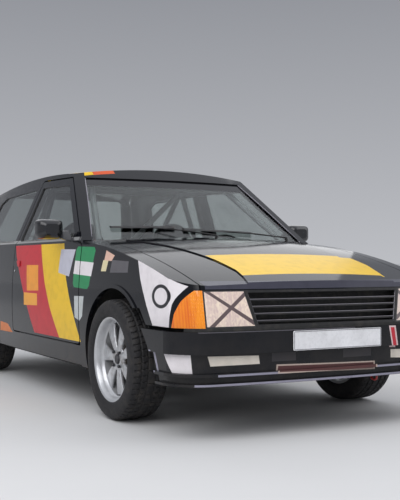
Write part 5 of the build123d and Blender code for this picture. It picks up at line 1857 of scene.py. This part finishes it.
@dataclass
class Grille:
    """Light grey lines along the grille's slats, its top and its two leaning ends, painted as highlights
    where light catches their edges.
    """

    heights: tuple[float, ...] = (0.524, 0.556, 0.588, 0.620, 0.655)
    low: Point2 = (0.398, 0.498)
    high: Point2 = (0.4425, 0.664)
    slat_radius: float = 0.0019
    end_radius: float = 0.0026

    def front(self, y: np.ndarray, z: np.ndarray) -> np.ndarray:
        """Where the grille's face lies: it leans back by 0.19 of the height and bends with y squared."""
        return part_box("grille")[1][0] - 0.19 * (z - 0.496) - 0.0295 * (y / 0.62) ** 2 - 0.004

    def build(self) -> None:
        """Adds a fine light line on each slat's front and one along each end, as painted highlights."""
        parts = []
        for z in self.heights:
            half = np.interp(z, (self.low[1], self.high[1]), (self.low[0], self.high[0])) - 0.004
            y = np.linspace(-half, half, 60)
            line = np.stack([self.front(y, z), y, np.full_like(y, z + 0.003)], -1)
            parts.append(tube(f"slat_{z}", line, self.slat_radius, 6))
        share = np.linspace(0.02, 0.97, 20)
        for side in Side:
            y = side.value * (self.low[0] - 0.006 + share * (self.high[0] - self.low[0]))
            z = self.low[1] + share * (self.high[1] - self.low[1])
            line = np.stack([self.front(y, z), y, z], -1)
            parts.append(tube(f"end_{side.word}", line, self.end_radius, 6))
        # painted highlight: light grey stands for the sky caught on the black slats' edges
        slat_highlight = Moulded("slat_highlight_grey", (0.17, 0.16, 0.18), 0.3, 0.3, 200.0, 0.0002, wear_share=0.15)
        assembled("slat_highlight_lines", parts, slat_highlight)


def casings(rows: Casings) -> list[Piece]:
    """Makes several casings, each from its box, the size of its edges and its draw."""
    return [casing("casing", *row) for row in rows]


def ribs(box: Box, step: float, count: int, edge: float) -> Casings:
    """Rows for casings that repeat across the car.

    Args:
        box: the first one's lowest and highest corner.
        step: distance from one to the next.
        count: how many there are.
        edge: size of their round edges.

    Returns:
        The rows.
    """
    places = (tuple((x, y + step * i, z) for x, y, z in box) for i in range(count))
    return tuple((place, edge, 0.0) for place in places)


@dataclass
class EngineBay:
    """What stands round the engine block: cover, air box, hoses, radiator, battery and servo."""

    bores: tuple[float, ...] = (-0.225, -0.120, -0.015, 0.090)
    cover: Casings = (
        (((1.200, -0.288, 0.731), (1.392, 0.168, 0.775)), 0.010, 0.06),
        *ribs(((1.222, -0.240, 0.771), (1.370, -0.228, 0.782)), 0.057, 7, 0.003),
    )
    cap: Outline = ((0.0003, 0.0), (0.026, 0.0), (0.026, 0.012), (0.022, 0.018), (0.0003, 0.018))
    cap_foot: Point3 = (1.296, 0.128, 0.773)
    core: Casings = (
        (((1.768, -0.290, 0.330), (1.796, 0.290, 0.640)), 0.004, 0.0),
        *ribs(((1.760, -0.280, 0.335), (1.770, -0.277, 0.635)), 0.016, 36, 0.001),
    )
    tanks: Casings = (
        (((1.756, 0.290, 0.322), (1.806, 0.342, 0.652)), 0.008, 0.0),
        (((1.756, -0.342, 0.322), (1.806, -0.290, 0.652)), 0.008, 0.0),
    )
    fan: Outline = (
        (0.128, -0.012), (0.138, -0.012), (0.140, 0.0), (0.140, 0.024), (0.132, 0.024), (0.130, 0.0),
    )
    fan_middle: Point3 = (1.732, -0.090, 0.480)
    upper_hose: Route = (
        (1.760, 0.316, 0.620), (1.722, 0.316, 0.628), (1.660, 0.260, 0.668), (1.590, 0.150, 0.690),
        (1.540, 0.120, 0.690),
    )
    lower_hose: Route = (
        (1.760, -0.316, 0.370), (1.715, -0.316, 0.366), (1.640, -0.300, 0.400), (1.580, -0.250, 0.470),
        (1.540, -0.220, 0.480),
    )
    hose_radius: float = 0.019
    air_box: Casings = (
        (((1.250, 0.205, 0.556), (1.520, 0.402, 0.664)), 0.012, 0.0),
        (((1.244, 0.199, 0.660), (1.526, 0.408, 0.670)), 0.003, 0.0),
        (((1.254, 0.209, 0.668), (1.516, 0.398, 0.712)), 0.014, 0.08),
    )
    trunk: Route = (
        (1.262, 0.300, 0.690), (1.215, 0.300, 0.700), (1.150, 0.270, 0.735), (1.106, 0.170, 0.752),
        (1.098, 0.040, 0.752),
    )
    trunk_radius: float = 0.030
    trunk_wave: float = 0.0025
    plenum: Casings = ((((1.070, -0.270, 0.728), (1.128, 0.110, 0.776)), 0.014, 0.0),)
    tray: Casings = (
        (((1.540, 0.214, 0.430), (1.745, 0.4245, 0.446)), 0.003, 0.0),
        (((1.630, 0.212, 0.440), (1.652, 0.424, 0.640)), 0.003, 0.0),
    )
    battery: Casings = (
        (((1.553, 0.226, 0.446), (1.732, 0.412, 0.610)), 0.006, 0.0),
        (((1.550, 0.223, 0.606), (1.735, 0.415, 0.634)), 0.006, 0.0),
    )
    drum: Outline = (
        (0.0003, 0.0), (0.060, 0.0), (0.092, 0.012), (0.100, 0.030), (0.100, 0.040), (0.105, 0.044),
        (0.100, 0.048), (0.098, 0.060), (0.074, 0.088), (0.040, 0.100), (0.0003, 0.102),
    )
    drum_foot: Point3 = (0.758, 0.300, 0.700)
    cylinder: Outline = (
        (0.0003, 0.0), (0.026, 0.0), (0.026, 0.020), (0.020, 0.024), (0.020, 0.120), (0.016, 0.128),
        (0.0003, 0.128),
    )
    cylinder_foot: Point3 = (0.852, 0.300, 0.700)
    bottles: Casings = (
        (((0.872, 0.268, 0.716), (0.972, 0.332, 0.772)), 0.010, 0.0),
        (((0.900, -0.4245, 0.560), (1.060, -0.330, 0.760)), 0.016, 0.05),
    )
    brace: Box = ((1.010, -0.426, 0.818), (1.010, 0.426, 0.818))
    brace_feet: Casings = (
        (((0.975, 0.414, 0.786), (1.045, 0.426, 0.842)), 0.003, 0.0),
        (((0.975, -0.426, 0.786), (1.045, -0.414, 0.842)), 0.003, 0.0),
    )

    def build(self) -> None:
        """Makes each group with its own finish, all fixed to the body."""
        self.head()
        self.cooling()
        self.induction()
        self.electrics()
        self.brakes()

    def head(self) -> None:
        """A ribbed cam cover with its filler cap, and the exhaust manifold's four runs."""
        crackle = Moulded("cover_crackle", (0.10, 0.012, 0.010), 0.55, 0.2, 700.0, 0.002, wear_share=0.2)
        assembled("cam_cover", casings(self.cover), crackle, BODY)
        black = Moulded("cap_black", (0.014, 0.014, 0.015), 0.4)
        finished(revolve("oil_cap", self.cap, self.cap_foot), black)
        runs = []
        for y in self.bores:
            route = (
                (1.550, y, 0.668), (1.604, y, 0.664), (1.630, 0.6 * y, 0.600),
                (1.634, 0.3 * y - 0.02, 0.500), (1.600, 0.12 * y - 0.03, 0.400),
            )
            runs.append(pipe("run", route, 10, 0.019, 14))
        rust = Moulded("manifold_rust", (0.15, 0.085, 0.06), 0.7, 0.6, 160.0, 0.0015, wear_share=0.6)
        assembled("exhaust_manifold", runs, rust, BODY)

    def cooling(self) -> None:
        """A finned radiator with end tanks behind the front panel, its fan ring and two hoses."""
        black = Moulded("bay_black", (0.014, 0.014, 0.015), 0.45, 0.0, 600.0)
        metal = Moulded("radiator_metal", (0.22, 0.22, 0.23), 0.45, 0.8, 300.0)
        assembled("radiator_core", casings(self.core), metal, BODY)
        assembled("radiator_tanks", casings(self.tanks), black)
        finished(revolve("fan_ring", self.fan, self.fan_middle, axis=Axis.X), black)
        routes = (self.upper_hose, self.lower_hose)
        hoses = [pipe("hose", route, 12, self.hose_radius, 16) for route in routes]
        rubber = Moulded("hose_rubber", (0.016, 0.016, 0.017), 0.5, 0.0, 350.0, 0.001)
        assembled("radiator_hoses", hoses, rubber)

    def ribbed_trunk(self) -> Piece:
        """The air box's trunk: a tube whose radius rises and falls by a sine of the place along it.

        Returns:
            The trunk.
        """
        path = curve_through(self.trunk, 24)
        radius = self.trunk_radius + self.trunk_wave * np.sin(np.arange(len(path)) * 1.3)
        skin = tube_points(path, 1.0, 22, False) - path[:, None]
        return grid("trunk", path[:, None] + skin * radius[:, None, None], False, True, True)

    def induction(self) -> None:
        """An air box over the gearbox, its ribbed trunk and the intake runs behind the cover."""
        black = Moulded("air_box_black", (0.018, 0.018, 0.019), 0.5, 0.0, 500.0)
        assembled("air_box", [*casings(self.air_box), self.ribbed_trunk()], black)
        runs = casings(self.plenum)
        for y in self.bores:
            route = ((1.110, y, 0.752), (1.150, y, 0.766), (1.188, y, 0.764), (1.212, y, 0.756))
            runs.append(pipe("intake", route, 8, 0.017, 14))
        alloy = Moulded("cast_light_alloy", (0.36, 0.36, 0.37), 0.5, 0.8, 200.0, 0.001, wear_share=0.3)
        assembled("intake_runs", runs, alloy, BODY)

    def electrics(self) -> None:
        """A battery with its lid in a tray with a strap, and four ignition leads."""
        steel = Moulded("tray_steel", (0.05, 0.05, 0.052), 0.5, 0.5, 200.0)
        black = Moulded("battery_black", (0.016, 0.016, 0.018), 0.4, 0.0, 500.0, wear_share=0.2)
        assembled("battery_tray", casings(self.tray), steel, BODY)
        assembled("battery", casings(self.battery), black)
        leads = []
        for i, y in enumerate(self.bores):
            route = (
                (1.402, y, 0.742), (1.412, y, 0.766), (1.428, 0.7 * y + 0.03, 0.772),
                (1.440, 0.190, 0.762 - 0.006 * i), (1.430 - 0.012 * i, 0.212, 0.716),
            )
            leads.append(pipe("lead", route, 10, 0.0036, 8))
        assembled("ignition_leads", leads, Moulded("lead_blue", (0.02, 0.04, 0.16), 0.4, 0.0, 400.0))

    def brakes(self) -> None:
        """A servo drum with its cylinder and bottle, a strut brace, and a washer bottle."""
        servo = [
            revolve("drum", self.drum, self.drum_foot, axis=Axis.X),
            revolve("cylinder", self.cylinder, self.cylinder_foot, axis=Axis.X),
        ]
        black = Moulded("servo_black", (0.020, 0.020, 0.021), 0.3, 0.4, 250.0, coat=0.4)
        assembled("brake_servo", servo, black)
        cloudy = Moulded("bottle_cloudy", (0.62, 0.60, 0.52), 0.35, 0.0, 200.0, 0.0004, wear_share=0.25)
        assembled("fluid_bottles", casings(self.bottles), cloudy, BODY)
        parts = [tube("bar", np.linspace(*self.brace, 24), 0.013, 18), *casings(self.brace_feet)]
        silver = Moulded("brace_silver", (0.45, 0.45, 0.47), 0.3, 0.8, 250.0, 0.0004, wear_share=0.15)
        assembled("strut_brace", parts, silver, BODY)


@dataclass
class Cockpit:
    """Dials, gear lever, handbrake and pedals, all fixed to the body."""

    dial_middle: Point2 = (0.448, 0.8255)
    dash_lean: Point2 = (0.604, 0.797)
    dial_rows: tuple[Point3, ...] = (
        (0.295, 0.033, 2.2), (0.405, 0.033, 3.6), (0.212, 0.017, 1.9), (0.488, 0.017, 1.2),
    )
    stick: Route = (
        (0.250, 0.0, 0.214), (0.246, 0.004, 0.300), (0.215, 0.012, 0.420), (0.205, 0.015, 0.520),
    )
    knob_middle: Point3 = (0.205, 0.015, 0.532)
    knob_radii: Point2 = (0.024, 0.026)
    handbrake: Route = ((0.120, 0.055, 0.214), (0.070, 0.055, 0.300), (0.010, 0.055, 0.395))
    grip: Route = ((0.022, 0.055, 0.378), (-0.010, 0.055, 0.424), (-0.040, 0.055, 0.468))
    gaiter: Box = ((0.195, -0.055, 0.2165), (0.305, 0.055, 0.262))
    pedals: Point3 = (0.270, 0.350, 0.430)
    pedal_half: float = 0.026

    def build(self) -> None:
        """Makes the dials, the two levers and the three pedals."""
        black = Moulded("cockpit_black", (0.014, 0.014, 0.015), 0.45, 0.0, 600.0)
        steel = Moulded("lever_steel", (0.42, 0.42, 0.43), 0.3, 1.0, 300.0, wear_share=0.15)
        self.dials(black)
        rods = [pipe("stick", self.stick, 8, 0.007, 12), pipe("hand", self.handbrake, 10, 0.010, 12)]
        assembled("lever_rods", rods, steel, BODY)
        a = np.linspace(-np.pi / 2, np.pi / 2, 14)
        knob = np.stack([0.0003 + self.knob_radii[0] * np.cos(a), self.knob_radii[1] * np.sin(a)], -1)
        parts = [
            revolve("knob", knob, self.knob_middle),
            pipe("grip", self.grip, 8, 0.014, 16),
            casing("gaiter", self.gaiter, 0.012, 0.45),
        ]
        for y in self.pedals:
            pad = ((0.548, y - self.pedal_half, 0.300), (0.562, y + self.pedal_half, 0.362))
            parts.append(casing("pad", pad, 0.004))
            arm = ((0.558, y, 0.335), (0.585, y, 0.380), (0.610, y, 0.480), (0.616, y, 0.606))
            parts.append(pipe("arm", arm, 8, 0.008, 10, 0.5))
        assembled("lever_grips_and_pedals", parts, black)

    def on_dash(self, y: np.ndarray, up: np.ndarray, lift: float) -> np.ndarray:
        """Places on the dashboard's leaning face: the middle, plus up along the lean, plus lift off it.

        Args:
            y: places across the car.
            up: distances up the lean from the dials' middle.
            lift: height off the face.

        Returns:
            Array (n, 3).
        """
        x = self.dial_middle[0] + self.dash_lean[0] * up - self.dash_lean[1] * lift
        z = self.dial_middle[1] + self.dash_lean[1] * up + self.dash_lean[0] * lift
        return np.stack([x, y, z], -1)

    def dials(self, black: Finish) -> None:
        """Two large and two small round dials, each a face, a rim and a needle.

        Each is given as its place across, its radius and its needle's angle.

        Args:
            black: finish of the rims.
        """
        faces, rims, needles = [], [], []
        a = turns(40)
        off = (-0.003 * self.dash_lean[1], 0.0, 0.003 * self.dash_lean[0])
        for y, r, turn in self.dial_rows:
            across, up = y + r * np.cos(a), r * np.sin(a)
            faces.append(slab(f"face_{y}", self.on_dash(across, up, 0.0), off, 0.0005))
            rims.append(tube(f"rim_{y}", self.on_dash(across, up, 0.003), 0.0028, 8, True))
            reach = np.linspace(0.0, 0.8 * r, 3)
            needle = self.on_dash(y + reach * math.cos(turn), reach * math.sin(turn), 0.0042)
            needles.append(tube(f"needle_{y}", needle, 0.0011, 6))
        white = Moulded("dial_white", (0.55, 0.55, 0.53), 0.4, 0.0, 300.0, wear_share=0.05)
        red = Moulded("needle_red", (0.5, 0.03, 0.01), 0.4, 0.0, 300.0, wear_share=0.05)
        assembled("dial_faces", faces, white, BODY)
        assembled("dial_rims", rims, black)
        assembled("dial_needles", needles, red, BODY)


@dataclass
class Studio:
    """Pale floor, soft lamps, even surroundings and the camera of the photograph."""

    eye: Point3 = (5.389, -2.599, 0.789)
    yaw: float = 151.09
    pitch: float = 0.79
    lens: float = 65.2
    sensor: float = 36.0
    floor_reach: float = 400.0
    floor_greys: Point2 = (0.60, 0.64)
    aim: Point3 = (0.0, 0.0, 0.6)
    horizon: tuple[tuple[float, Colour], ...] = (
        (0.0, (0.50, 0.51, 0.54)), (0.30, (0.28, 0.29, 0.32)), (0.9, (0.88, 0.90, 0.96)),
    )

    def build(self) -> None:
        """Makes the floor, the lamps, the world and the camera."""
        scene = bpy.context.scene
        scene.view_settings.view_transform = "Standard"
        data = bpy.data.cameras.new("camera")
        data.lens, data.sensor_width = self.lens, self.sensor
        camera = bpy.data.objects.new("camera", data)
        camera.location = self.eye
        camera.rotation_euler = (math.radians(90.0 + self.pitch), 0.0, math.radians(self.yaw - 90.0))
        scene.collection.objects.link(camera)
        scene.camera = camera
        self.floor()
        self.world(scene)
        self.lamp("key", (4.5, -5.5, 5.8), (8.0, 7.0), 420.0)
        self.lamp("fill", (3.5, 6.5, 5.4), (9.0, 8.0), 170.0)
        self.lamp("rim", (-8.5, 3.0, 6.0), (11.0, 8.0), 200.0)

    def floor(self) -> None:
        """A wide pale floor with faint mottling."""
        points = np.insert(self.floor_reach * SQUARE, 2, 0.0, 1)
        plane = add_mesh("studio_floor", points, [[0, 1, 2, 3]], False)
        s = Shader("studio_floor_grey")
        dark, pale = ((grey, grey, grey) for grey in self.floor_greys)
        s.shade(Base_Color=s.mix(s.noise(1.5, 4.0), dark, pale), Roughness=0.85)
        plane.data.materials.append(s.material)

    def world(self, scene: bpy.types.Scene) -> None:
        """Even surroundings: pale below, darker just over the horizon and palest overhead.

        Args:
            scene: the scene.
        """
        world = bpy.data.worlds.new("studio")
        scene.world = world
        world.use_nodes = True
        tree = world.node_tree
        way = tree.nodes.new("ShaderNodeTexCoord").outputs["Generated"]
        split = tree.nodes.new("ShaderNodeSeparateXYZ")
        ramp = tree.nodes.new("ShaderNodeValToRGB")
        tree.links.new(way, split.inputs[0])
        tree.links.new(split.outputs["Z"], ramp.inputs[0])
        stops = ramp.color_ramp.elements
        (low, low_colour), (middle, middle_colour), (high, high_colour) = self.horizon
        stops[0].position, stops[0].color = low, (*low_colour, 1.0)
        stops[1].position, stops[1].color = high, (*high_colour, 1.0)
        stops.new(middle).color = (*middle_colour, 1.0)
        background = tree.nodes["Background"]
        tree.links.new(ramp.outputs[0], background.inputs["Color"])
        background.inputs["Strength"].default_value = 1.0

    def lamp(self, name: str, place: Point3, size: Point2, power: float) -> None:
        """Adds one soft rectangular lamp aimed at the car's middle.

        Args:
            name: the lamp's name.
            place: where it hangs.
            size: its two sides.
            power: its watts.
        """
        data = bpy.data.lights.new(name, "AREA")
        data.shape, data.size, data.size_y, data.energy = "RECTANGLE", size[0], size[1], power
        lamp = bpy.data.objects.new(name, data)
        lamp.location = place
        lamp.rotation_euler = (Vector(self.aim) - Vector(place)).to_track_quat("-Z", "Y").to_euler()
        bpy.context.scene.collection.objects.link(lamp)


def main() -> None:
    """Builds the sub-assemblies in order."""
    logging.basicConfig(level=logging.INFO, format="%(name)s: %(message)s")
    Studio().build()
    Body().dress_all()
    for corner in Corner:
        Tyre(corner).build()
        AlloyWheel(corner).build()
    WindowSeals().build()
    Grille().build()
    Plate((1.9835, 0.022, 0.4325), (0.2555, 0.0450), 1.0, "front_plate").build()
    Plate((-1.9835, 0.0, 0.432), (0.260, 0.055), -1.0, "rear_plate").build()
    for side in Side:
        BucketSeat(side).build()
    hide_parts("seats")
    for side in Side:
        Mirror(side).build()
    Fittings().build()
    EngineBay().build()
    Cockpit().build()


if __name__ == "__main__":
    main()
